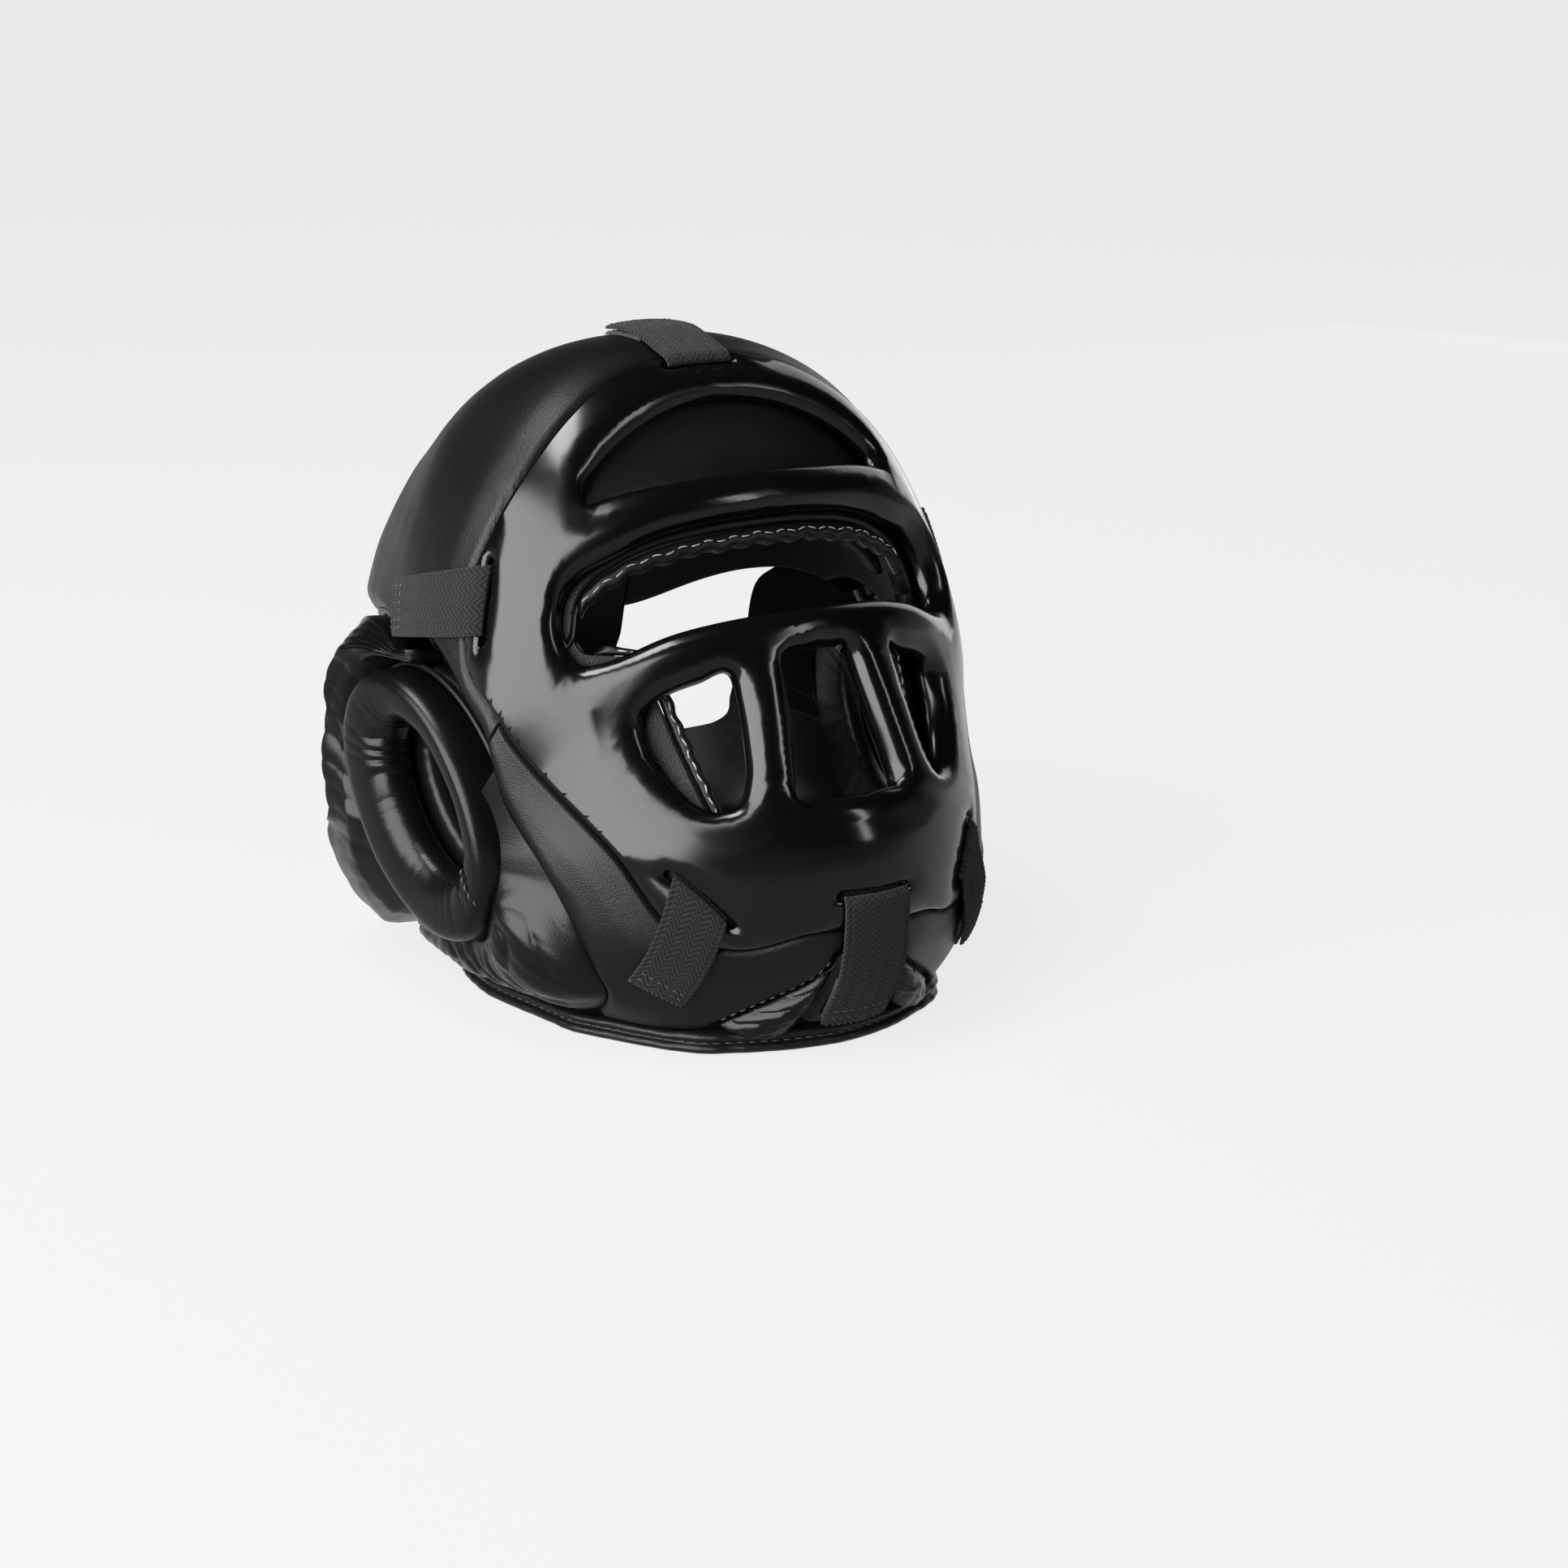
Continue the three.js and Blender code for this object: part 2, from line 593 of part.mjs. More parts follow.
// A point of the oval, at a part of its size, raised from the ear plane outwards.
function ovalPoint(oval, hand, turn, growth, height) {
  const lean = radians(oval.lean);
  const along = (oval.long + growth) * Math.cos(turn);
  const across = (oval.short + growth) * Math.sin(turn);
  const back = oval.back + along * Math.sin(lean) + across * Math.cos(lean);
  const up = oval.up + along * Math.cos(lean) - across * Math.sin(lean);
  const side = EAR_PLANE.x + EAR_PLANE.slope * back + height;
  return new THREE.Vector3(hand * side, EAR_AXIS.y + back, EAR_AXIS.z + up);
}

// A stuffed ring between the outer oval and the ear hole.
function earRing(hand) {
  return loop(30, 12, (s, a) => {
    const turn = 2 * Math.PI * s;
    const outer = ovalPoint(EAR_RING, hand, turn, 0, 0);
    const inner = ovalPoint(EAR_HOLE, hand, turn, 0, 0);
    const middle = outer.clone().lerp(inner, 0.5);
    const roll = 2 * Math.PI * a;
    const point = middle.lerp(outer, Math.cos(roll));
    point.x += hand * RING_HALF_HEIGHT * Math.sin(roll);
    return point;
  });
}

// The flat ring-shaped panel that the ear ring is sewn to.
function earPanel(hand) {
  return loop(30, 4, (s, a) => {
    const turn = 2 * Math.PI * s;
    const corner = Math.floor(a * 4 + 0.5) % 4;
    const outward = corner === 0 || corner === 3;
    const height = -RING_HALF_HEIGHT - (corner < 2 ? 0.6 : 9);
    return ovalPoint(outward ? EAR_RING : EAR_HOLE, hand, turn, outward ? 0.6 : -2, height);
  });
}

function earPlug(hand) {
  const shape = [];
  const triangles = [];
  const count = 30;
  for (const height of [-40, 40]) {
    shape.push(...ovalPoint(EAR_RING, hand, 0, -EAR_RING.short, height).toArray());
    for (let i = 0; i < count; i += 1) {
      shape.push(...ovalPoint(EAR_RING, hand, (2 * Math.PI * i) / count, 1.4, height).toArray());
    }
  }
  const index = (i, side) => side * (count + 1) + 1 + (i % count);
  for (let i = 0; i < count; i += 1) {
    triangles.push(0, index(i + 1, 0), index(i, 0));
    triangles.push(count + 1, index(i, 1), index(i + 1, 1));
    triangles.push(index(i, 0), index(i + 1, 0), index(i + 1, 1));
    triangles.push(index(i, 0), index(i + 1, 1), index(i, 1));
  }
  return solid(facingOut(shape, triangles));
}

const plugs = [earPlug(-1), earPlug(1)];

// Cuts a pad away where the ears stand in it.
function clearOfEars(geometry) {
  let cut = solid(geometry);
  for (const plug of plugs) cut = cut.subtract(plug);
  return geometryOf(cut);
}

// ---------- bottom rim ----------

function rimCurve() {
  const half = [];
  for (const side of [0, 18, 36, 52]) {
    half.push(bareSkin(angleAtHeight(side, RIM_TOP, false), side));
  }
  for (let around = -58; around >= -134; around -= 12) {
    const reach = (EAR_AXIS.z - RIM_TOP) / Math.sin(radians(-around));
    half.push(bareSkin(around, sideAt(around, reach)));
  }
  const other = half.slice(1).map((p) => new THREE.Vector3(-p.x, p.y, p.z)).reverse();
  return new THREE.CatmullRomCurve3([...other, ...half], false, "centripetal");
}

function rimBinding() {
  const curve = rimCurve();
  return slab(44, 2, (u, v, top) => {
    const here = curve.getPointAt(u);
    const along = curve.getTangentAt(u);
    const inwards = new THREE.Vector3(-along.y, along.x, 0).normalize();
    const bulge = v === 0.5 ? 1.2 : 0;
    here.addScaledVector(inwards, top ? 12 : 0.6 - bulge);
    here.z = RIM_HEIGHT * v;
    return here;
  });
}

// ---------- webbing tabs ----------

// The angle and side of a tab's point, part of the way along it and part of the way across.
function tabPoint({ slot, end, straight }, part, wide) {
  if (straight) {
    const near = bareSkin(...slot[0]).lerp(bareSkin(...slot[1]), wide);
    const far = bareSkin(...end[0]).lerp(bareSkin(...end[1]), wide);
    const point = near.lerp(far, part);
    const [back, up] = [point.y - EAR_AXIS.y, point.z - EAR_AXIS.z];
    const around = (Math.atan2(up, -back) * 180) / Math.PI;
    return [around, Math.sign(point.x) * sideAt(around, Math.hypot(back, up))];
  }
  const across = (ends, k) => lerp(ends[0][k], ends[1][k], wide);
  return [0, 1].map((k) => lerp(across(slot, k), across(end, k), part));
}

// A band over the skin from the slot to the tab's end; start and finish are parts of its length.
function band(tab, start, finish, liftAt, thickness) {
  return slab(4, tab.cells, (u, v, top) => {
    const part = lerp(start, finish, v);
    return skin(...tabPoint(tab, part, u), liftAt(part) + (top ? thickness : 0));
  });
}

const flapLift = (part) => ramp([[0.25, 0.5], [0.6, 2.2]], part);

function tabFlap(tab) {
  return band(tab, 0, 1, flapLift, WEBBING);
}

// The hidden layer: it lies under the cage wall and comes up through the slot.
function tabRoot(tab) {
  const under = band({ ...tab, cells: 2 }, -0.02, 0.13, () => -5.9, WEBBING);
  const riser = band({ ...tab, cells: 1 }, -0.02, 0.02, () => -5.6, 4.8);
  return geometryOf(solid(under).add(solid(riser)));
}

function loopPatch(tab, start, finish) {
  return slab(5, 5, (u, v, top) => {
    const [around, side] = tabPoint(tab, lerp(start, finish, v), lerp(0.02, 0.98, u));
    return skin(around, side, padLift(around, side) + (top ? 1.25 : 0.55));
  });
}

// ---------- rear closure ----------

function rearBand(from, to, low, high, liftAt, thickness, cells) {
  return slab(cells, 3, (u, v, top) => {
    const side = lerp(from, to, u);
    return skin(lerp(low, high, v), side, liftAt(side) + (top ? thickness : 0));
  });
}

const root = new THREE.Group();
const add = (name, geometry, look) => root.add(meshOf(name, geometry, look));
const HANDS = { right: -1, left: 1 };

add("dome_pad", clearOfEars(domePad()), GRAINED);
add("chin_pad", chinPad(), SMOOTH);
add("forehead_liner", liner(() => 72, () => 100, 78, 16, 6), LINING);
const linerRear = (out) => through(DOME_REAR, 0.8 * out) - 8;
add("crown_liner", liner(() => 101, linerRear, 80, 16, 8), LINING);
add("brow_binding", browBinding(), BINDING);
add("rim_binding", rimBinding(), BINDING);
add("nape_pad", napePad(), SMOOTH);
for (const [hand, sign] of Object.entries(HANDS)) {
  add(`cheek_pad_${hand}`, clearOfEars(cheekPad(sign)), GRAINED);
  add(`cheek_binding_${hand}`, cheekBinding(sign), BINDING);
  add(`cheek_liner_${hand}`, clearOfEars(sideLiner(sign)), LINING);
  add(`chin_gusset_${hand}`, chinGusset(sign), SMOOTH);
  add(`ear_ring_${hand}`, earRing(sign), SMOOTH);
  add(`ear_panel_${hand}`, earPanel(sign), LINING);
  add(`jaw_skirt_${hand}`, clearOfEars(skirt(sign)), SMOOTH);
  add(`rear_wing_${hand}`, clearOfEars(wing(sign)), SMOOTH);
}

add("face_cage", faceCage(), GLOSSY);
const PATCH_REACH = { top: [0.5, 1.06], chin: [0.6, 0.98], temple: [0.36, 1.06], cheek: [0.68, 1.06] };
for (const [name, tab] of Object.entries(TABS)) {
  add(`${name}_tab_flap`, tabFlap(tab), WEB);
  add(`${name}_tab_root`, tabRoot(tab), WEB);
  add(`${name}_loop_patch`, loopPatch(tab, ...PATCH_REACH[name.split("_")[0]]), LOOP);
}

add("rear_strap", rearBand(-50, 50, 189, 200.5, (side) => ramp([[-20, 5.6], [20, 4.2]], side), 1.8, 12), WEB);
add("rear_strap_patch", rearBand(-52, -34, 189.5, 200, () => 3.8, 1.4, 3), LOOP);
export default root;
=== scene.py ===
import math

import bpy
import numpy as np
from mathutils import Matrix, Vector, geometry


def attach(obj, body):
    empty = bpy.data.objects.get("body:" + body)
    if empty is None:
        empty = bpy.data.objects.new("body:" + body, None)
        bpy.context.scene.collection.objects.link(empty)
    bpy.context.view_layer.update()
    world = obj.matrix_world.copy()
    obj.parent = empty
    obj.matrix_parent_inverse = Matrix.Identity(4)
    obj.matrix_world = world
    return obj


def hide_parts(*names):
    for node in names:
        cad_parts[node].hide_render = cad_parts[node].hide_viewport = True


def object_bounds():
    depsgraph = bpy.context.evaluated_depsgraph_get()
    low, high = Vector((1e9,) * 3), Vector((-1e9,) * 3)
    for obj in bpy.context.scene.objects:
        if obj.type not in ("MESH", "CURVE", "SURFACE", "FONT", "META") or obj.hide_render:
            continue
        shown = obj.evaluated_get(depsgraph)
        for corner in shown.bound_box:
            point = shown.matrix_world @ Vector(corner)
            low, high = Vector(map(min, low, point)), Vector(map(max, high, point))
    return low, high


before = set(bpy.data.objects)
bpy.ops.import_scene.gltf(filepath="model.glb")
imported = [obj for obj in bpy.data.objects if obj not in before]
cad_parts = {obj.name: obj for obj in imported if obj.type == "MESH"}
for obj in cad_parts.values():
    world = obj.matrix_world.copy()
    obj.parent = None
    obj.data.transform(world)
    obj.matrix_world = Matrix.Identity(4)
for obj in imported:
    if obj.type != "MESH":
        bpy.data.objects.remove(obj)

CAD_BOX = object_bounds()
MM = 0.001
HANDS = {"right": -1, "left": 1}

# ---------- the skin, swept round the ear axis ----------

EAR_Y, EAR_Z = -19.38, 60
HALF_WIDTH = 105.9
REACH = [
    (-145, 108), (-134, 92), (-120, 81), (-90, 72), (-65, 78), (-45, 94), (-36, 100.5), (-25, 102.8),
    (-11, 105.9), (8, 103.7), (24, 99.8), (40, 101.2), (55, 108.9), (68, 122.6), (80, 138.7),
    (92, 160.5), (108, 171.3), (125, 169.5), (142, 166.5), (160, 156.5), (185, 143), (200, 134),
    (210, 118), (215, 108), (226, 92), (240, 81), (270, 72),
]
SQUARENESS = [
    (-120, 2.2), (-90, 2.1), (-45, 1.92), (0, 1.6), (45, 1.74), (80, 2.4), (100, 2.55), (140, 2.42),
    (215, 2.3), (240, 2.2), (270, 2.1),
]
NOSE_BLUNTNESS = 0.08
RIM_TOP = 9.4
RIM_HEIGHT = 8

CAGE_WALL = 3.4
BAR_DEPTH = 10
CREST_DEPTH = 6.2
UNDER_CAGE = -6.8
BEHIND_BARS = -11.8
PAD_INSIDE = -18
LINER_GAP = 2
LINER_INSIDE = -27

EAR_RING = {"back": 19.5, "up": 13.5, "long": 50, "short": 33.5, "lean": 38}
EAR_HOLE = {"back": 14.8, "up": 16.5, "long": 29, "short": 17, "lean": 40}
EAR_PLANE = {"x": 97.4, "slope": 0.13}
RING_HALF_HEIGHT = 9
RIPPLE_WAVES = 7


def lerp(a, b, part):
    return a + (b - a) * part


def ramp(knots, at):
    xs, ys = np.array(knots, float).T
    return np.interp(at, xs, ys)


def through(knots, at):
    """A smooth curve through (position, value) pairs."""
    xs, ys = np.array(knots, float).T
    slope = np.empty_like(ys)
    slope[1:-1] = (ys[2:] - ys[:-2]) / (xs[2:] - xs[:-2])
    slope[0] = (ys[1] - ys[0]) / (xs[1] - xs[0])
    slope[-1] = (ys[-1] - ys[-2]) / (xs[-1] - xs[-2])
    at = np.clip(np.asarray(at, float), xs[0], xs[-1])
    i = np.clip(np.searchsorted(xs, at, side="right") - 1, 0, len(xs) - 2)
    span = xs[i + 1] - xs[i]
    s = (at - xs[i]) / span
    start = (1 + 2 * s) * (1 - s) ** 2 * ys[i] + s * (1 - s) ** 2 * span * slope[i]
    end = s * s * (3 - 2 * s) * ys[i + 1] + s * s * (s - 1) * span * slope[i + 1]
    return start + end


def smooth(low, high, at):
    s = np.clip((np.asarray(at, float) - low) / (high - low), 0, 1)
    return s * s * (3 - 2 * s)


def reach_at(around, side):
    power = through(SQUARENESS, around)
    blunt = NOSE_BLUNTNESS**power
    wide = np.minimum(np.abs(side) / HALF_WIDTH, 0.9995)
    bent = (wide**2 + NOSE_BLUNTNESS**2) ** (power / 2) - blunt
    full = (1 + NOSE_BLUNTNESS**2) ** (power / 2) - blunt
    return through(REACH, around) * (1 - bent / full) ** (1 / power)


def side_at(around, reach):
    power = through(SQUARENESS, around)
    blunt = NOSE_BLUNTNESS**power
    full = (1 + NOSE_BLUNTNESS**2) ** (power / 2) - blunt
    part = np.minimum(reach / through(REACH, around), 1)
    bent = (1 - part**power) * full + blunt
    return HALF_WIDTH * np.sqrt(np.maximum(bent ** (2 / power) - NOSE_BLUNTNESS**2, 0))


def bare_skin(around, side):
    around, side = np.broadcast_arrays(np.asarray(around, float), np.asarray(side, float))
    reach = reach_at(around, side)
    angle = np.radians(around)
    return np.stack([side, EAR_Y - reach * np.cos(angle), EAR_Z + reach * np.sin(angle)], -1)


def skin_normal(around, side):
    step = 0.4
    held = np.clip(side, -HALF_WIDTH + 2 * step, HALF_WIDTH - 2 * step)
    along = bare_skin(around + step, held) - bare_skin(around - step, held)
    across = bare_skin(around, held + step) - bare_skin(around, held - step)
    normal = np.cross(across, along)
    normal /= np.linalg.norm(normal, axis=-1, keepdims=True)
    outwards = bare_skin(around, side) - np.array([0, EAR_Y, EAR_Z])
    flip = np.where((normal * outwards).sum(-1) < 0, -1.0, 1.0)
    return normal * flip[..., None]


def skin(around, side, lift):
    around = np.asarray(around, float)
    here = bare_skin(around, side)
    return here + skin_normal(around, np.asarray(side, float)) * np.asarray(lift, float)[..., None]


def turn_of(side):
    return np.arcsin(np.clip(np.asarray(side, float) / HALF_WIDTH, -1, 1))


def side_of(turn):
    return HALF_WIDTH * np.sin(turn)


def between(a, b, part):
    return side_of(lerp(turn_of(a), turn_of(b), part))


def angle_at_height(side, height, at_back):
    """The angle at which the skin, this far out to the side, comes down to a height over the rim."""
    side = np.asarray(side, float)
    high = np.full(side.shape, 185.0 if at_back else 0.0)
    low = np.full(side.shape, 265.0 if at_back else -89.0)
    for _ in range(40):
        middle = (high + low) / 2
        above = bare_skin(middle, side)[..., 2] > height
        high = np.where(above, middle, high)
        low = np.where(above, low, middle)
    return low


def oval_reach(around, oval, grow):
    """Distance from the ear axis to the oval round the ear, grown by some millimetres."""
    around = np.asarray(around, float)
    inside, outside = np.zeros(around.shape), np.full(around.shape, 150.0)
    angle, lean = np.radians(around), math.radians(oval["lean"])
    for _ in range(40):
        reach = (inside + outside) / 2
        y = -reach * np.cos(angle) - oval["back"]
        z = reach * np.sin(angle) - oval["up"]
        along = y * math.sin(lean) + z * math.cos(lean)
        across = y * math.cos(lean) - z * math.sin(lean)
        part = np.hypot(along / (oval["long"] + grow), across / (oval["short"] + grow))
        inside = np.where(part < 1, reach, inside)
        outside = np.where(part < 1, outside, reach)
    return outside


def ripple(points, size, seed):
    """Smooth unevenness from -1 to 1 with lumps of about this size, the same each run."""
    random = np.random.default_rng(seed)
    total = np.zeros(points.shape[:-1])
    for _ in range(RIPPLE_WAVES):
        direction = random.normal(size=3)
        direction *= 2 * math.pi / size / np.linalg.norm(direction) * random.uniform(0.7, 1.3)
        total += np.sin(points @ direction + random.uniform(0, 2 * math.pi))
    return total / math.sqrt(RIPPLE_WAVES) / 1.6


def pleats(at, count, sharp):
    """Round bulges from 0 to 1 with narrow valleys between them, this many over at = 0 to 1."""
    return np.abs(np.sin(math.pi * count * np.asarray(at, float))) ** sharp


# ---------- meshes ----------

TUBE_SIDES = 8
# A direction that no piping runs along, from which each tube's cross-section is set up.
TUBE_REFERENCE = np.array([0.13, 0.21, 0.97])
STITCH_SIDES = 6
STITCH_STEPS = 4
STITCH_TIP = 0.55

def mesh_object(name, points, faces, look, coordinates=None):
    mesh = bpy.data.meshes.new(name)
    mesh.from_pydata((np.asarray(points).reshape(-1, 3) * MM).tolist(), [], faces)
    mesh.update()
    mesh.polygons.foreach_set("use_smooth", [True] * len(mesh.polygons))
    if coordinates is not None:
        layer = mesh.attributes.new("cloth", "FLOAT_VECTOR", "POINT")
        layer.data.foreach_set("vector", np.asarray(coordinates, np.float32).ravel())
    mesh.materials.append(look)
    made = bpy.data.objects.new(name, mesh)
    bpy.context.scene.collection.objects.link(made)
    return made


def outward(points, faces):
    """The faces, turned round as a whole if they enclose a negative volume."""
    volume = 0.0
    for face in faces:
        a = points[face[0]]
        for b, c in zip(face[1:], face[2:]):
            volume += a @ np.cross(points[b], points[c])
    return [tuple(reversed(face)) for face in faces] if volume < 0 else faces


def grid_faces(count_u, count_v, start=0, flip=False):
    faces = []
    for j in range(count_v - 1):
        for i in range(count_u - 1):
            a = start + j * count_u + i
            quad = (a, a + 1, a + count_u + 1, a + count_u)
            faces.append(tuple(reversed(quad)) if flip else quad)
    return faces


def slab(name, columns, rows, place, look):
    """A closed sheet of stuffing: place(u, v, top) gives its bottom (top = 0) and its top (1)."""
    us = np.linspace(0, 1, columns + 1)
    vs = np.linspace(0, 1, rows + 1)
    u, v = np.meshgrid(us, vs)
    top = place(u, v, 1).reshape(-1, 3)
    bottom = place(u, v, 0).reshape(-1, 3)
    nu, nv = columns + 1, rows + 1
    count = nu * nv
    faces = grid_faces(nu, nv) + grid_faces(nu, nv, count, True)
    border = list(range(nu))
    border += [j * nu + nu - 1 for j in range(1, nv)]
    border += [(nv - 1) * nu + i for i in range(nu - 2, -1, -1)]
    border += [j * nu for j in range(nv - 2, 0, -1)]
    for a, b in zip(border, border[1:] + border[:1]):
        faces.append((b, a, a + count, b + count))
    points = np.concatenate([top, bottom])
    cloth = np.zeros((2 * count, 3))
    cloth[:, 0] = np.tile(u.ravel(), 2)
    cloth[:, 1] = np.tile(v.ravel(), 2)
    return mesh_object(name, points, outward(points, faces), look, coordinates=cloth)


def ring_solid(name, sections, sides, place, look, closed=True):
    """Sections round a path; place(s, a) with both from 0 to 1. An open path gets flat ends."""
    steps = sections if closed else sections + 1
    s, a = np.meshgrid(np.arange(steps) / sections, np.arange(sides) / sides, indexing="ij")
    points = place(s, a).reshape(-1, 3)
    faces = []
    for i in range(sections):
        for j in range(sides):
            k, m = (i + 1) % steps, (j + 1) % sides
            faces.append((i * sides + j, k * sides + j, k * sides + m, i * sides + m))
    if not closed:
        faces.append(tuple(range(sides - 1, -1, -1)))
        faces.append(tuple(sections * sides + j for j in range(sides)))
    return mesh_object(name, points, outward(points, faces), look)


def edge_roll(u, v, width_u, width_v):
    """1 inside, falling in a quarter round to 0 at the border; widths are parts of the sheet."""
    def one(t, width):
        near = np.clip(np.minimum(t, 1 - t) / max(width, 1e-6), 0, 1)
        return np.sqrt(1 - (1 - near) ** 2)
    return np.minimum(one(u, width_u), one(v, width_v))


def tube(name, path, radius, look, closed=False):
    """A round cord of piping along points, in millimetres."""
    path = np.asarray(path, float)
    count = len(path)
    after = np.roll(path, -1, 0) if closed else np.vstack([path[1:], path[-1:]])
    before = np.roll(path, 1, 0) if closed else np.vstack([path[:1], path[:-1]])
    along = after - before
    along /= np.linalg.norm(along, axis=1, keepdims=True)
    side = np.cross(along, TUBE_REFERENCE)
    side /= np.linalg.norm(side, axis=1, keepdims=True)
    up = np.cross(side, along)

    def place(s, a):
        i = np.minimum(np.rint(s * (count if closed else count - 1)).astype(int), count - 1)
        roll = 2 * math.pi * a
        return path[i] + radius * (np.cos(roll)[..., None] * side[i] + np.sin(roll)[..., None] * up[i])
    return ring_solid(name, count if closed else count - 1, TUBE_SIDES, place, look, closed)


def stitches(name, path, outwards, look, length=2.6, gap=1.1, radius=0.32, lean=0.0):
    """Separate stitches along a path, each a small loop of thread that dives in at both ends."""
    path = np.asarray(path, float)
    steps = np.linalg.norm(np.diff(path, axis=0), axis=1)
    at = np.concatenate([[0], np.cumsum(steps)])

    def along_path(values, where):
        return np.array([np.interp(where, at, values[:, c]) for c in range(3)])
    rings, faces = [], []
    start = gap
    while start + length < at[-1]:
        base = len(rings) * STITCH_SIDES
        for k in range(STITCH_STEPS + 1):
            here = start + length * k / STITCH_STEPS
            point = along_path(path, here)
            normal = along_path(outwards, here)
            ahead = along_path(path, here + 0.5)
            along = (ahead - point) / max(np.linalg.norm(ahead - point), 1e-6)
            normal /= np.linalg.norm(normal)
            cross = np.cross(along, normal)
            rise = 1.1 * radius * math.sin(math.pi * k / STITCH_STEPS) - 0.35 * radius
            middle = point + normal * rise + cross * lean * (k / STITCH_STEPS - 0.5) * length
            thick = radius * (STITCH_TIP if k in (0, STITCH_STEPS) else 1)
            ring = []
            for m in range(STITCH_SIDES):
                roll = 2 * math.pi * m / STITCH_SIDES
                ring.append(middle + thick * (math.cos(roll) * cross + math.sin(roll) * normal))
            rings.append(ring)
        for k in range(STITCH_STEPS):
            for m in range(STITCH_SIDES):
                a = base + STITCH_SIDES * k + m
                b = base + STITCH_SIDES * k + (m + 1) % STITCH_SIDES
                faces.append((a, b, b + STITCH_SIDES, a + STITCH_SIDES))
        last = base + STITCH_SIDES * STITCH_STEPS
        faces.append(tuple(base + m for m in range(STITCH_SIDES - 1, -1, -1)))
        faces.append(tuple(last + m for m in range(STITCH_SIDES)))
        start += length + gap
    points = np.array(rings).reshape(-1, 3)
    return mesh_object(name, points, outward(points, faces), look)


# ---------- materials ----------


def shader(name, colour, roughness, **sockets):
    made = bpy.data.materials.new(name)
    made.use_nodes = True
    principled = made.node_tree.nodes["Principled BSDF"]
    principled.inputs["Base Color"].default_value = (*colour, 1)
    principled.inputs["Roughness"].default_value = roughness
    for socket, value in sockets.items():
        principled.inputs[socket.replace("_", " ")].default_value = value
    return made, made.node_tree, principled


def add_node(tree, kind, **settings):
    made = tree.nodes.new(kind)
    for key, value in settings.items():
        if key in made.inputs:
            made.inputs[key].default_value = value
        else:
            setattr(made, key, value)
    return made


def object_place(tree, scale):
    place = add_node(tree, "ShaderNodeTexCoord")
    mapping = add_node(tree, "ShaderNodeMapping")
    mapping.inputs["Scale"].default_value = (scale, scale, scale)
    tree.links.new(place.outputs["Object"], mapping.inputs["Vector"])
    return mapping.outputs["Vector"]


def bump(tree, principled, height, strength, distance, before=None):
    made = add_node(tree, "ShaderNodeBump")
    made.inputs["Strength"].default_value = strength
    made.inputs["Distance"].default_value = distance
    tree.links.new(height, made.inputs["Height"])
    if before is not None:
        tree.links.new(before, made.inputs["Normal"])
    tree.links.new(made.outputs["Normal"], principled.inputs["Normal"])
    return made.outputs["Normal"]


def vary(tree, principled, socket, source, low, high):
    spread = add_node(tree, "ShaderNodeMapRange")
    spread.inputs["To Min"].default_value = low
    spread.inputs["To Max"].default_value = high
    tree.links.new(source, spread.inputs["Value"])
    tree.links.new(spread.outputs["Result"], principled.inputs[socket])


def tint(tree, principled, source, dark, light):
    blend = add_node(tree, "ShaderNodeMix", data_type="RGBA")
    blend.inputs["A"].default_value = (*dark, 1)
    blend.inputs["B"].default_value = (*light, 1)
    tree.links.new(source, blend.inputs["Factor"])
    tree.links.new(blend.outputs["Result"], principled.inputs["Base Color"])


def noise_at(tree, vector, scale, detail, roughness):
    made = add_node(tree, "ShaderNodeTexNoise", Scale=scale, Detail=detail, Roughness=roughness)
    tree.links.new(vector, made.inputs["Vector"])
    return made.outputs["Fac"]


def moulded_plastic():
    made, tree, principled = shader(
        "moulded_plastic", (0.0008, 0.0008, 0.0009), 0.16, Specular_IOR_Level=0.2
    )
    place = object_place(tree, 1)
    smears = noise_at(tree, place, 22, 4, 0.6)
    vary(tree, principled, "Roughness", smears, 0.10, 0.24)
    waves = noise_at(tree, place, 60, 2, 0.4)
    bump(tree, principled, waves, 0.08, 0.0006)
    return made


def leather(name, colour, low, high, grain, depth):
    """Synthetic leather: small polygonal grain, finer pores, and softer wear in broad patches."""
    made, tree, principled = shader(name, colour, high, Specular_IOR_Level=0.13)
    place = object_place(tree, 1)
    cells = add_node(tree, "ShaderNodeTexVoronoi", feature="DISTANCE_TO_EDGE", Scale=grain)
    tree.links.new(place, cells.inputs["Vector"])
    pores = noise_at(tree, place, grain * 1.9, 3, 0.6)
    broad = noise_at(tree, place, 35, 3, 0.5)
    vary(tree, principled, "Roughness", broad, low, high)
    light = tuple(min(1.0, 1.7 * c) for c in colour)
    tint(tree, principled, broad, colour, light)
    first = bump(tree, principled, cells.outputs["Distance"], depth, 0.0004)
    bump(tree, principled, pores, depth * 0.7, 0.00025, first)
    return made


def cloth_place(tree):
    made = add_node(tree, "ShaderNodeAttribute", attribute_name="cloth")
    parts = add_node(tree, "ShaderNodeSeparateXYZ")
    tree.links.new(made.outputs["Vector"], parts.inputs["Vector"])
    return parts.outputs["X"], parts.outputs["Y"]


def math_node(tree, operation, a, b=None):
    made = add_node(tree, "ShaderNodeMath", operation=operation)
    for socket, value in zip(made.inputs, (a, b)):
        if value is None:
            continue
        if isinstance(value, (int, float)):
            socket.default_value = value
        else:
            tree.links.new(value, socket)
    return made.outputs[0]


WEAVE_WIDTH = 6.2
WEAVE_STEP = 1.9


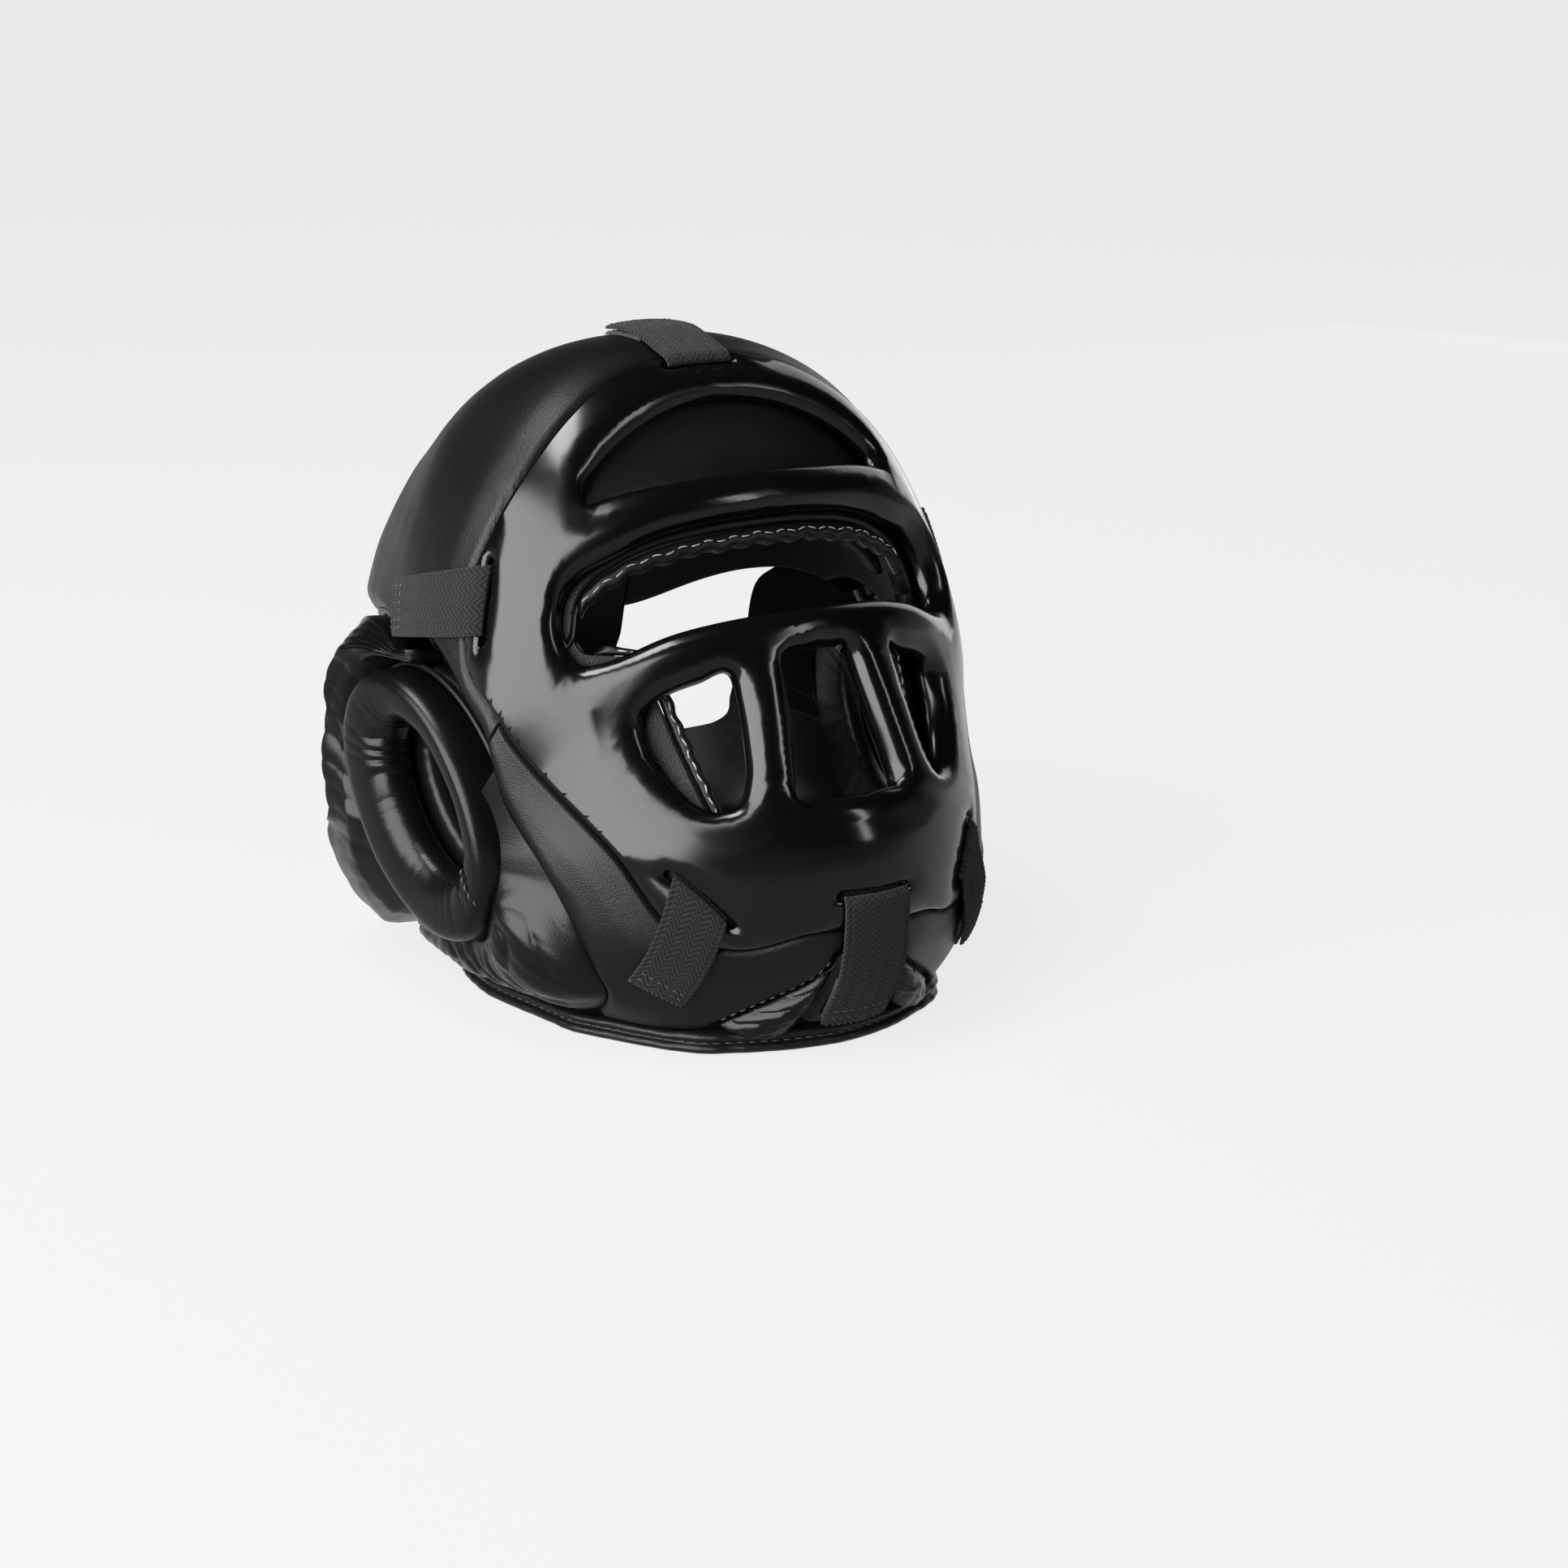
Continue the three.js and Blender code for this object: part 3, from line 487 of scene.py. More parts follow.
def webbing():
    """Herringbone webbing; the cloth attribute is millimetres across and along the band."""
    made, tree, principled = shader("webbing", (0.01, 0.01, 0.0104), 0.85, Specular_IOR_Level=0.1)
    principled.inputs["Sheen Weight"].default_value = 0.04
    principled.inputs["Sheen Roughness"].default_value = 0.5
    across, along = cloth_place(tree)
    chevron = math_node(tree, "PINGPONG", across, WEAVE_WIDTH / 2)
    slope = math_node(tree, "ADD", along, chevron)
    twill = math_node(tree, "SINE", math_node(tree, "MULTIPLY", slope, 2 * math.pi / WEAVE_STEP))
    yarn = math_node(tree, "SINE", math_node(tree, "MULTIPLY", across, 2 * math.pi / 0.62))
    both = math_node(tree, "ADD", twill, math_node(tree, "MULTIPLY", yarn, 0.45))
    height = math_node(tree, "MULTIPLY", math_node(tree, "ADD", both, 1.5), 0.33)
    bump(tree, principled, height, 0.9, 0.0004)
    fibres = noise_at(tree, object_place(tree, 1), 1800, 3, 0.7)
    # Painted shade: the colour goes darker in the weave's grooves and lighter on its raised yarns,
    # following the weave height and broken up by fibre noise.
    mixed = math_node(tree, "MULTIPLY", height, fibres)
    tint(tree, principled, mixed, (0.0005, 0.0005, 0.0006), (0.018, 0.018, 0.0187))
    return made


def loop_pile():
    made, tree, principled = shader("loop_pile", (0.002, 0.002, 0.002), 1.0, Specular_IOR_Level=0.1)
    principled.inputs["Sheen Weight"].default_value = 0.1
    fuzz = noise_at(tree, object_place(tree, 1), 900, 4, 0.8)
    bump(tree, principled, fuzz, 1.0, 0.0009)
    tint(tree, principled, fuzz, (0.001, 0.001, 0.001), (0.01, 0.01, 0.01))
    return made


def thread(name, colour):
    made, tree, principled = shader(name, colour, 0.6)
    twist = noise_at(tree, object_place(tree, 1), 2600, 2, 0.6)
    bump(tree, principled, twist, 0.6, 0.0001)
    tint(tree, principled, twist, tuple(0.6 * c for c in colour), colour)
    return made


PLASTIC = moulded_plastic()
GRAINED = leather("grained_leather", (0.001, 0.001, 0.0011), 0.34, 0.44, 1100, 0.32)
SMOOTH = leather("smooth_leather", (0.0008, 0.0008, 0.0009), 0.24, 0.33, 900, 0.12)
LINING = leather("lining_leather", (0.0014, 0.0014, 0.0015), 0.3, 0.42, 1000, 0.15)
BINDING = leather("binding_leather", (0.0016, 0.0016, 0.0017), 0.3, 0.4, 1300, 0.25)
WEBBING = webbing()
LOOP = loop_pile()
PALE_THREAD = thread("pale_thread", (0.2, 0.2, 0.205))
DARK_THREAD = thread("dark_thread", (0.009, 0.009, 0.0095))

# ---------- face cage ----------

EYE_OPENING = [
    (70.2, 6), (70.6, 24), (71.6, 43), (72.6, 60), (73.8, 70), (73.6, 75.5), (71.5, 78.5), (68.5, 79.3),
    (65, 78.2), (61.5, 75.5), (59.5, 71), (58, 64), (56.8, 48), (55.4, 31), (54.4, 16), (54, 5),
]
CREST_OPENING = [
    (76.1, 5), (76.4, 23), (77.7, 40), (79.5, 54), (81, 61), (82.3, 60.5), (83.6, 54), (84.6, 44),
    (85.8, 27), (86.5, 13), (86.7, 4),
]
SIDE_OPENING = [
    (46.6, 33), (47, 43), (47.2, 54), (46, 61), (41.5, 61.8), (34, 60), (26.7, 56.6), (21.2, 52),
    (18.6, 46), (19.6, 40.5), (25, 36.4), (33, 34.2), (41, 33),
]
MOUTH_HALF = [(47.2, 8), (46.6, 14.6), (41, 16.2), (32, 18.8), (23, 21.4), (18.6, 21.8), (17.9, 12)]
CAGE_SIDE = [
    (-12, 62), (-2.4, 68.2), (10, 74), (25, 80.7), (36, 85), (51, 90.4), (61, 94.4), (75, 98.2),
    (84, 99.6), (88, 98.5),
]
CAGE_CHIN_EDGE = [(0, -7), (0.35, -8.4), (0.55, -11.8), (0.7, -12.7), (0.85, -11), (0.95, -7), (1, -3)]
CAGE_CROWN_EDGE = [(0, 94), (0.2, 93.2), (0.42, 91), (0.62, 89.8), (0.82, 90.2), (0.94, 91.2), (1, 88)]
SLOT_HALF_LENGTH = 15
SLOT_HALF_WIDTH = 2

# Slot ends and the far corners of each webbing tab, on the skin.
TABS = {
    "top": {"slot": [(91.4, 12.7), (91.4, -12.7)], "end": [(105, 12.7), (105, -12.7)]},
    "chin": {"slot": [(-1.2, -12.7), (-1.2, 12.7)], "end": [(-28.6, -12.7), (-28.6, 12.7)]},
    "temple_right": {
        "slot": [(86.9, -88.6), (82.9, -95.2)], "end": [(117, -94.8), (119, -99.6)], "straight": True,
    },
    "cheek_right": {"slot": [(4.4, -61.2), (-6.4, -48)], "end": [(-24.9, -70.9), (-28, -56)]},
}
for tab_name in ("temple", "cheek"):
    right = TABS[f"{tab_name}_right"]
    turned = {
        key: [(around, -side) for around, side in reversed(right[key])] for key in ("slot", "end")
    }
    TABS[f"{tab_name}_left"] = {**right, **turned}


def spaced(points, step):
    """A smooth closed curve through points, cut into even steps over the skin."""
    points = np.asarray(points, float)
    points = np.vstack([points[-1:], points, points[:2]])
    dense = []
    for a, b, c, d in zip(points, points[1:], points[2:], points[3:]):
        ta = 0.0
        tb = ta + math.sqrt(max(np.linalg.norm(b - a), 1e-6))
        tc = tb + math.sqrt(max(np.linalg.norm(c - b), 1e-6))
        td = tc + math.sqrt(max(np.linalg.norm(d - c), 1e-6))
        for t in np.linspace(tb, tc, 24, endpoint=False):
            one = (tb - t) / (tb - ta) * a + (t - ta) / (tb - ta) * b
            two = (tc - t) / (tc - tb) * b + (t - tb) / (tc - tb) * c
            three = (td - t) / (td - tc) * c + (t - tc) / (td - tc) * d
            left = (tc - t) / (tc - ta) * one + (t - ta) / (tc - ta) * two
            far = (td - t) / (td - tb) * two + (t - tb) / (td - tb) * three
            dense.append((tc - t) / (tc - tb) * left + (t - tb) / (tc - tb) * far)
    return even(np.array(dense), step)


def even(outline, step):
    """The closed outline again with even steps, measured over the skin in millimetres."""
    ends = np.vstack([outline, outline[:1]])
    real = bare_skin(ends[:, 0], ends[:, 1])
    at = np.concatenate([[0], np.cumsum(np.linalg.norm(np.diff(real, axis=0), axis=1))])
    count = max(4, int(round(at[-1] / step)))
    places = np.linspace(0, at[-1], count + 1)[:-1]
    return np.stack([np.interp(places, at, ends[:, k]) for k in (0, 1)], 1)


def mirrored(half):
    """A closed outline from its half on the wearer's left."""
    return list(half) + [(a, -s) for a, s in reversed(half)]


def moved_out(outline, distance):
    """Each point of a closed outline moved away from its inside, over the skin, in millimetres."""
    around, side = outline[:, 0], outline[:, 1]
    along = skin_slope(around, side, 0)
    across = skin_slope(around, side, 1)
    tangent = bare_skin(*np.roll(outline, -1, 0).T) - bare_skin(*np.roll(outline, 1, 0).T)
    normal = np.cross(tangent, np.cross(across, along))
    normal /= np.linalg.norm(normal, axis=1, keepdims=True)
    area = 0.5 * (around * np.roll(side, -1) - np.roll(around, -1) * side).sum()
    normal *= 1 if area < 0 else -1
    a_a, a_s, s_s = (along * along).sum(1), (along * across).sum(1), (across * across).sum(1)
    n_a, n_s = (normal * along).sum(1), (normal * across).sum(1)
    spread = a_a * s_s - a_s**2
    move_a = (n_a * s_s - n_s * a_s) / spread
    move_s = (n_s * a_a - n_a * a_s) / spread
    return outline + distance * np.stack([move_a, move_s], 1)


def skin_slope(around, side, axis):
    """How the skin's point moves for each degree around (axis 0) or each millimetre aside (1)."""
    step = 0.2
    if axis == 0:
        return (bare_skin(around + step, side) - bare_skin(around - step, side)) / (2 * step)
    held = np.clip(side, -HALF_WIDTH + 1, HALF_WIDTH - 1)
    return (bare_skin(around, held + step) - bare_skin(around, held - step)) / (2 * step)


def cage_perimeter():
    """The cage's outer edge: chin, jaw, temple and crown, with its corners rounded."""
    out = np.linspace(-1, 1, 120)

    def edge(knots, reference):
        wide = side_of(np.abs(out) * turn_of(through(CAGE_SIDE, reference)))
        return np.stack([through(knots, np.abs(out)), np.sign(out) * wide], 1)
    low, high = edge(CAGE_CHIN_EDGE, -3), edge(CAGE_CROWN_EDGE, 88)
    rise = np.linspace(0, 1, 60)[1:-1]
    right_side = np.stack([lerp(-3, 88, rise), through(CAGE_SIDE, lerp(-3, 88, rise))], 1)
    left_side = right_side[::-1] * [1, -1]
    outline = even(np.vstack([low, right_side, high[::-1], left_side]), 1.0)
    for _ in range(14):
        outline = (np.roll(outline, 1, 0) + outline + np.roll(outline, -1, 0)) / 3
    return even(outline, 1.8)


def slot_outline(tab):
    """A thin slot with round ends, along the line between the tab's corners."""
    (a0, s0), (a1, s1) = tab["slot"]
    middle = np.array([(a0 + a1) / 2, float(between(s0, s1, 0.5))])
    here = bare_skin(*middle)
    along = bare_skin(a0, s0) - here
    along /= np.linalg.norm(along)
    across = np.cross(along, skin_normal(*middle))
    slope_a, slope_s = skin_slope(*middle, 0), skin_slope(*middle, 1)
    basis = np.linalg.pinv(np.stack([slope_a, slope_s], 1))
    points = []
    for part in np.arange(32) / 32:
        turn = 2 * math.pi * part
        x = math.copysign(SLOT_HALF_LENGTH - SLOT_HALF_WIDTH, math.cos(turn))
        if abs(math.cos(turn)) < 0.35:
            x *= abs(math.cos(turn)) / 0.35
        rounded = np.array([x + SLOT_HALF_WIDTH * math.cos(turn), SLOT_HALF_WIDTH * math.sin(turn)])
        points.append(middle + basis @ (along * rounded[0] + across * rounded[1]))
    return np.array(points)


def nearest(points, outlines):
    """Distance over the skin from each point to the nearest of some closed outlines."""
    best = np.full(len(points), 1e9)
    for outline in outlines:
        real = bare_skin(*outline.T)
        a, b = real, np.roll(real, -1, 0)
        edge = b - a
        square = (edge * edge).sum(1)
        for start in range(0, len(points), 4000):
            p = points[start:start + 4000, None, :]
            t = np.clip(((p - a) * edge).sum(2) / square, 0, 1)
            gap = np.linalg.norm(p - a - t[..., None] * edge, axis=2).min(1)
            best[start:start + 4000] = np.minimum(best[start:start + 4000], gap)
    return best


def inside(points, outline):
    x, y = points[:, 0][:, None], points[:, 1][:, None]
    x0, y0 = outline[:, 0], outline[:, 1]
    x1, y1 = np.roll(x0, -1), np.roll(y0, -1)
    crosses = (y0 > y) != (y1 > y)
    with np.errstate(divide="ignore", invalid="ignore"):
        at = (x1 - x0) * (y - y0) / (y1 - y0) + x0
    return (crosses & (x < at)).sum(1) % 2 == 1


def quarter(distance, radius, depth):
    """How far a rounded edge has dropped, this far in from it."""
    near = np.clip(distance / radius, 0, 1)
    return depth * (1 - np.sqrt(1 - (1 - near) ** 2))


OUTLINE_STEP = 1.7
EYE = spaced(mirrored(EYE_OPENING), OUTLINE_STEP)
CREST = spaced(mirrored(CREST_OPENING), OUTLINE_STEP)
SIDES = [
    spaced(SIDE_OPENING, OUTLINE_STEP), spaced([(a, -s) for a, s in SIDE_OPENING], OUTLINE_STEP),
]
MOUTH = spaced(
    [(47.2, 0)] + MOUTH_HALF + [(17.8, 0)] + [(a, -s) for a, s in reversed(MOUTH_HALF)], OUTLINE_STEP
)
PERIMETER = cage_perimeter()
SLOTS = [slot_outline(tab) for tab in TABS.values()]
DEEP = [EYE, MOUTH, *SIDES]
# Millimetres for each degree where the outlines are triangulated on a flat plane.
PLANE_AROUND, PLANE_TURN = 1.9, 1.75


def cage_lifts(around, side):
    """Outer and inner height of the cage over the skin: round bars, deep lips and thin plates."""
    points = bare_skin(around, side)
    deep = nearest(points, DEEP)
    crest = nearest(points, [CREST])
    rim = nearest(points, [PERIMETER])
    slots = nearest(points, SLOTS)
    bead = 1.5 * np.exp(-(((np.minimum(deep, crest) - 4.6) / 2.6) ** 2))
    groove = -0.7 * np.exp(-(((deep - 11) / 3.0) ** 2))
    fade = smooth(1, 6, np.minimum(rim, slots))
    drop = np.maximum.reduce([
        quarter(deep, 4.6, 4.2), quarter(crest, 3.8, 3.2), quarter(rim, 2.0, 1.7),
        quarter(slots, 1.0, 0.9),
    ])
    seam = -0.18 * np.exp(-((side / 0.6) ** 2)) * (np.minimum(deep, crest) < 9)
    outer = (bead + groove) * fade - drop + seam
    lip = CAGE_WALL + (BAR_DEPTH - CAGE_WALL) * (1 - smooth(2.2, 5.4, deep))
    crest_lip = CAGE_WALL + (CREST_DEPTH - CAGE_WALL) * (1 - smooth(2.0, 4.6, crest))
    inner = np.maximum(lip, crest_lip) - quarter(np.minimum(deep, crest), 1.2, 1.1)
    return outer, -inner


def face_cage():
    """The moulding's points and faces, closest together along its edges, and its outer normals."""
    openings = [EYE, CREST, MOUTH, *SIDES]
    outlines = [PERIMETER, *openings, *SLOTS]
    lip_steps = [0.18, 0.65, 1.4, 2.4, 3.6, 5.0, 6.8, 8.8]
    edge_steps = [0.3, 0.9, 2.0]
    flat, edges = [], []
    for outline in outlines:
        start = len(flat)
        flat.extend(outline.tolist())
        count = len(outline)
        edges.extend((start + i, start + (i + 1) % count) for i in range(count))
    for k, outline in enumerate(outlines):
        for distance in lip_steps if 1 <= k <= len(openings) else edge_steps:
            moved = moved_out(outline, -distance if k == 0 else distance)
            if distance > 4:
                moved = moved[::2]
            gap = nearest(bare_skin(*moved.T), outlines)
            flat.extend(moved[(gap > 0.93 * distance)].tolist())
    spread = np.stack(np.meshgrid(np.arange(-13, 95, 1.4), np.arange(-85, 86, 1.8)), -1).reshape(-1, 2)
    spread[:, 1] = side_of(np.radians(spread[:, 1]))
    gap = nearest(bare_skin(*spread.T), outlines)
    openings_gap = nearest(bare_skin(*spread.T), openings)
    flat.extend(spread[(gap > 3.2) & (openings_gap > 10)].tolist())
    flat = np.array(flat)
    plane = np.stack([flat[:, 0] * PLANE_AROUND, np.degrees(turn_of(flat[:, 1])) * PLANE_TURN], 1)
    found = geometry.delaunay_2d_cdt([Vector(p) for p in plane], edges, [], 0, 1e-6)
    verts, triangles = np.array([tuple(p) for p in found[0]]), np.array(found[2])
    around = verts[:, 0] / PLANE_AROUND
    side = side_of(np.radians(verts[:, 1] / PLANE_TURN))
    both = np.stack([around, side], 1)
    middles = both[triangles].mean(1)
    keep = inside(middles, PERIMETER)
    for outline in outlines[1:]:
        keep &= ~inside(middles, outline)
    triangles = triangles[keep]
    used = np.unique(triangles)
    renumber = np.full(len(verts), -1)
    renumber[used] = np.arange(len(used))
    triangles = renumber[triangles]
    around, side = around[used], side[used]
    outer, inner = cage_lifts(around, side)
    inwards = nearest(bare_skin(around, side), [PERIMETER])
    outer = evened(outer, triangles, inwards > 5)
    top = skin(around, side, outer)
    bottom = skin(around, side, inner)
    count = len(used)
    first, second, third = (top[triangles[:, k]] for k in range(3))
    area = np.cross(second - first, third - first)
    outwards = skin_normal(around, side)[triangles[:, 0]]
    turned = (area * outwards).sum(1) < 0
    triangles[turned] = triangles[turned][:, ::-1]
    faces = [tuple(int(i) for i in t) for t in triangles]
    faces += [tuple(int(i) + count for i in reversed(t)) for t in triangles]
    seen = {}
    for a, b, c in triangles.tolist():
        for pair in ((a, b), (b, c), (c, a)):
            seen[pair] = True
    for a, b in seen:
        if (b, a) not in seen:
            faces.append((b, a, a + count, b + count))
    plain = smooth(9, 16, nearest(bare_skin(around, side), outlines[1:]))
    plain *= smooth(0.2, 1.0, inwards)
    return np.concatenate([top, bottom]), faces, cage_normals(around, side), plain


def evened(height, triangles, free, rounds=7):
    """The heights with their creases rounded off, except round the edges."""
    pairs = np.concatenate([triangles[:, [0, 1]], triangles[:, [1, 2]], triangles[:, [2, 0]]])
    both = np.concatenate([pairs, pairs[:, ::-1]])
    keys, counts = np.unique(np.sort(pairs, 1), axis=0, return_counts=True)
    free[keys[counts == 1].ravel()] = False
    total = np.bincount(both[:, 0], minlength=len(height))
    for _ in range(rounds):
        near = np.bincount(both[:, 0], height[both[:, 1]], minlength=len(height)) / total
        height = np.where(free, 0.45 * height + 0.55 * near, height)
    return height


def cage_normals(around, side):
    """The outer face's own normal at each point, from how its height changes nearby."""
    step = 0.12
    held = np.clip(side, -HALF_WIDTH + 0.4, HALF_WIDTH - 0.4)

    def at(a, s):
        return skin(a, s, cage_lifts(a, s)[0])
    along = at(around + step, held) - at(around - step, held)
    across = at(around, held + step) - at(around, held - step)
    normal = np.cross(across, along)
    normal /= np.linalg.norm(normal, axis=1, keepdims=True)
    flip = np.where((normal * skin_normal(around, side)).sum(1) < 0, -1.0, 1.0)
    return normal * flip[:, None]


def blended(normals, exact, mesh, plain, rounds=8):
    """The outer face's normals: exact where it is plain, evened out between neighbours by the bars."""
    count = len(plain)
    plain = plain[:, None]
    normals[:count] = lerp(normals[:count], exact, plain)
    edges = np.zeros(len(mesh.edges) * 2, int)
    mesh.edges.foreach_get("vertices", edges)
    edges = edges.reshape(-1, 2)
    edges = edges[(edges < count).all(1)]
    both = np.concatenate([edges, edges[:, ::-1]])
    share = np.maximum(np.bincount(both[:, 0], minlength=count), 1)[:, None]
    for _ in range(rounds):
        total = np.zeros((count, 3))
        np.add.at(total, both[:, 0], normals[both[:, 1]])
        mixed = lerp(normals[:count], total / share, 0.55 * (1 - plain))
        normals[:count] = mixed / np.linalg.norm(mixed, axis=1, keepdims=True)
    return normals


def build_cage():
    points, faces, exact, plain = face_cage()
    made = mesh_object("moulded_face_cage", points, faces, PLASTIC)
    mesh = made.data
    normals = np.zeros(len(points) * 3)
    mesh.vertices.foreach_get("normal", normals)
    normals = normals.reshape(-1, 3)
    normals = blended(normals, exact, mesh, plain)
    mesh.normals_split_custom_set_from_vertices(normals.tolist())
    return dress(made, "cage", "moulded_plastic", "face_cage")


# ---------- padded shell ----------

CHEEK_FRONT = [
    (-60, 46), (-40, 43.5), (-10, 35), (5, 44), (20, 50), (35, 54), (50, 57), (55, 58.5), (57.5, 62),
    (60, 68.5), (63, 74.5), (66.5, 77),
]
# The seam where the cheek pads meet the chin: it fans out below the cage.
CHEEK_SEAM = [
    (-60, 46), (-37, 44.5), (-32, 41.5), (-27, 34.5), (-22, 25.5), (-17.5, 17), (-13, 12.5), (-6, 14),
    (0, 32), (5, 44), (20, 50), (35, 54), (50, 57), (55, 58.5), (57.5, 62), (60, 68.5), (63, 74.5),
    (66.5, 77),
]
# The dome's front edge over the eyes.
BROW_EDGE = [
    (0, 70), (24, 70.4), (43, 71.4), (60, 72.4), (70, 72.6), (75.5, 71), (78, 67.8), (100, 67.2),
]
CHEEK_REAR = [
    (-60, 69), (-50, 72), (-35, 76.5), (-29, 81), (-15, 87.5), (7, 92.4), (39, 97), (66.5, 100),
]
DOME_REAR = [(0, 164), (0.4, 161), (0.6, 155), (0.8, 143), (1, 123)]
DOME_SIDE = [(0, 100.2), (0.4, 102.4), (1, 98.6)]
WING_REAR = [
    (118, 100.6), (123, 99.8), (143, 89.5), (160, 88), (175, 83), (182, 77), (185.5, 52), (188.5, 36),
    (230, 30),
]
NAPE_SIDE = [(155, 51), (165, 49), (171, 46), (177, 56), (182, 66), (190, 60), (212, 50)]


def dress(made, body, slot, *nodes, fill=None):
    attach(made, body)
    if nodes:
        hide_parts(*nodes)
    return made


def outside_cage(around, side):
    """Distance beyond the cage's outer edge, over the skin; negative under the cage."""
    around, side = np.broadcast_arrays(np.asarray(around, float), np.asarray(side, float))
    flat = np.stack([around.ravel(), side.ravel()], 1)
    gap = nearest(bare_skin(*flat.T), [PERIMETER])
    return np.where(inside(flat, PERIMETER), -gap, gap).reshape(around.shape)


def pad_lift(around, side):
    """A pad's height over the skin: deep behind the bars, tight under the cage, full where bare."""
    past = outside_cage(around, side)
    beside = np.interp(past, [-9, -5], [BEHIND_BARS, UNDER_CAGE])
    above = ramp([(80, BEHIND_BARS), (87.5, -7.6), (91, UNDER_CAGE)], around)
    below = ramp([(6, UNDER_CAGE), (13, BEHIND_BARS)], around)
    covered = np.maximum.reduce([beside, above, below])
    edge = -4.4 + 3.2 * smooth(-1.2, 2.6, past) + 1.2 * smooth(2.6, 14, past)
    return lerp(covered, edge, smooth(-5.5, -1.5, past))


def brow_edge(side):
    return through(BROW_EDGE, np.abs(side))


def dome_around(u, v):
    out = np.abs(2 * u - 1)
    return lerp(brow_edge(side_of(out * turn_of(DOME_SIDE[0][1]))), through(DOME_REAR, out), v)


def dome_pad():
    def place(u, v, top):
        out = 2 * u - 1
        around = dome_around(u, v)
        side = side_of(out * turn_of(through(DOME_SIDE, v)))
        if not top:
            return skin(around, side, PAD_INSIDE)
        lift = pad_lift(around, side)
        rear = np.clip((1 - v) / 0.07, 0, 1)
        flank = np.clip((1 - np.abs(out)) / 0.045, 0, 1)
        roll = np.sqrt(1 - (1 - np.minimum(rear, flank)) ** 2)
        flat = bare_skin(around, side)
        bare = smooth(104, 116, around)
        soft = 0.5 * ripple(flat, 55, 3) + 0.16 * ripple(flat, 17, 4)
        lift = lift + bare * soft
        return skin(around, side, lerp(PAD_INSIDE + 3, lift, 0.35 + 0.65 * roll))
    made = slab("dome_cushion", 150, 110, place, GRAINED)
    return dress(made, "shell", "grained_leather", "dome_pad", fill=0.7)


def dome_piping():
    """The raised seam along the dome's rear and lower edge."""
    u = np.concatenate([np.zeros(40), np.linspace(0, 1, 161)[1:-1], np.ones(40)])
    v = np.concatenate([np.linspace(0.42, 1, 40), np.ones(159), np.linspace(1, 0.42, 40)])
    out = 2 * u - 1
    around = dome_around(u, v)
    side = side_of(out * turn_of(through(DOME_SIDE, v)))
    path = skin(around, side, -6.5)
    return dress(tube("dome_piping", path[::2], 1.3, BINDING), "shell", "binding")


def cheek_place(hand):
    def place(u, v, top):
        rim_front = float(angle_at_height(43.5, RIM_TOP, False))
        rim_rear = float(angle_at_height(69.5, RIM_TOP, False))
        around = lerp(lerp(rim_front, rim_rear, u), 66.6, v)
        side = between(through(CHEEK_SEAM, around), through(CHEEK_REAR, around), u)
        if not top:
            return skin(around, hand * side, PAD_INSIDE)
        lift = pad_lift(around, side)
        roll = np.sqrt(1 - (1 - np.clip((1 - u) / 0.12, 0, 1)) ** 2)
        flat = bare_skin(around, side)
        lift = lift + 0.3 * ripple(flat, 38, 11 + hand) * smooth(0, 0.1, v)
        seam = side - through(CHEEK_SEAM, around)
        open_air = 1 - smooth(-14, -11, around)
        lift = lift - 2.6 * open_air * np.exp(-((seam / 2.2) ** 2))
        return skin(around, hand * side, lerp(PAD_INSIDE + 5, lift, 0.45 + 0.55 * roll))
    return place


def cheek_pad(name, hand):
    made = slab(f"cheek_cushion_{name}", 84, 150, cheek_place(hand), GRAINED)
    return dress(made, "shell", "grained_leather", f"cheek_pad_{name}", fill=0.6)


def chin_down(around):
    """0 at the cage's lower edge, 1 at the rim."""
    return np.clip((-9 - np.asarray(around, float)) / 24, 0, 1)


def chin_half_width(around):
    return 11 + 8 * chin_down(around)


def chin_pad():
    def place(u, v, top):
        lowest = angle_at_height(np.abs(2 * u - 1) * 19, RIM_TOP, False)
        around = lerp(lowest, 4, v)
        side = (2 * u - 1) * chin_half_width(around)
        if not top:
            return skin(around, side, PAD_INSIDE)
        down = chin_down(around)
        seam = np.exp(-(((1 - np.abs(2 * u - 1)) * 15 / 1.8) ** 2))
        folds = 0.9 * (pleats(u * 0.9 + 0.05 * np.sin(5 * down), 4, 0.8) - 0.5) * np.sin(math.pi * down)
        return skin(around, side, pad_lift(around, side) + folds - 2.0 * seam * (down > 0))
    made = slab("chin_cushion", 70, 80, place, SMOOTH)
    return dress(made, "shell", "smooth_leather", "chin_pad", fill=0.6)


def gusset_lift(around, side):
    """A stuffed triangle, gathered along the slanting seam that joins it to the cheek pad."""
    seam = through(CHEEK_SEAM, around)
    inner = chin_half_width(around)
    wide = np.maximum(seam - inner, 0.1)
    part = np.clip((side - inner) / wide, 0, 1)
    crown = np.clip(wide / 16, 0.15, 1) * 7.2 * np.sin(math.pi * part) ** 0.7 - 2.6
    from_seam = seam - side
    along = around + 0.25 * side
    gathers = (pleats(along / 24 + 0.02 * np.sin(from_seam), 9, 0.6) - 0.6) * np.exp(-from_seam / 5)
    low = pleats(side / 26 + 0.2, 5, 0.7) - 0.5
    down = chin_down(around)
    return crown + (2.3 * gathers + 0.5 * low * down**2) * np.sin(math.pi * part) ** 0.35


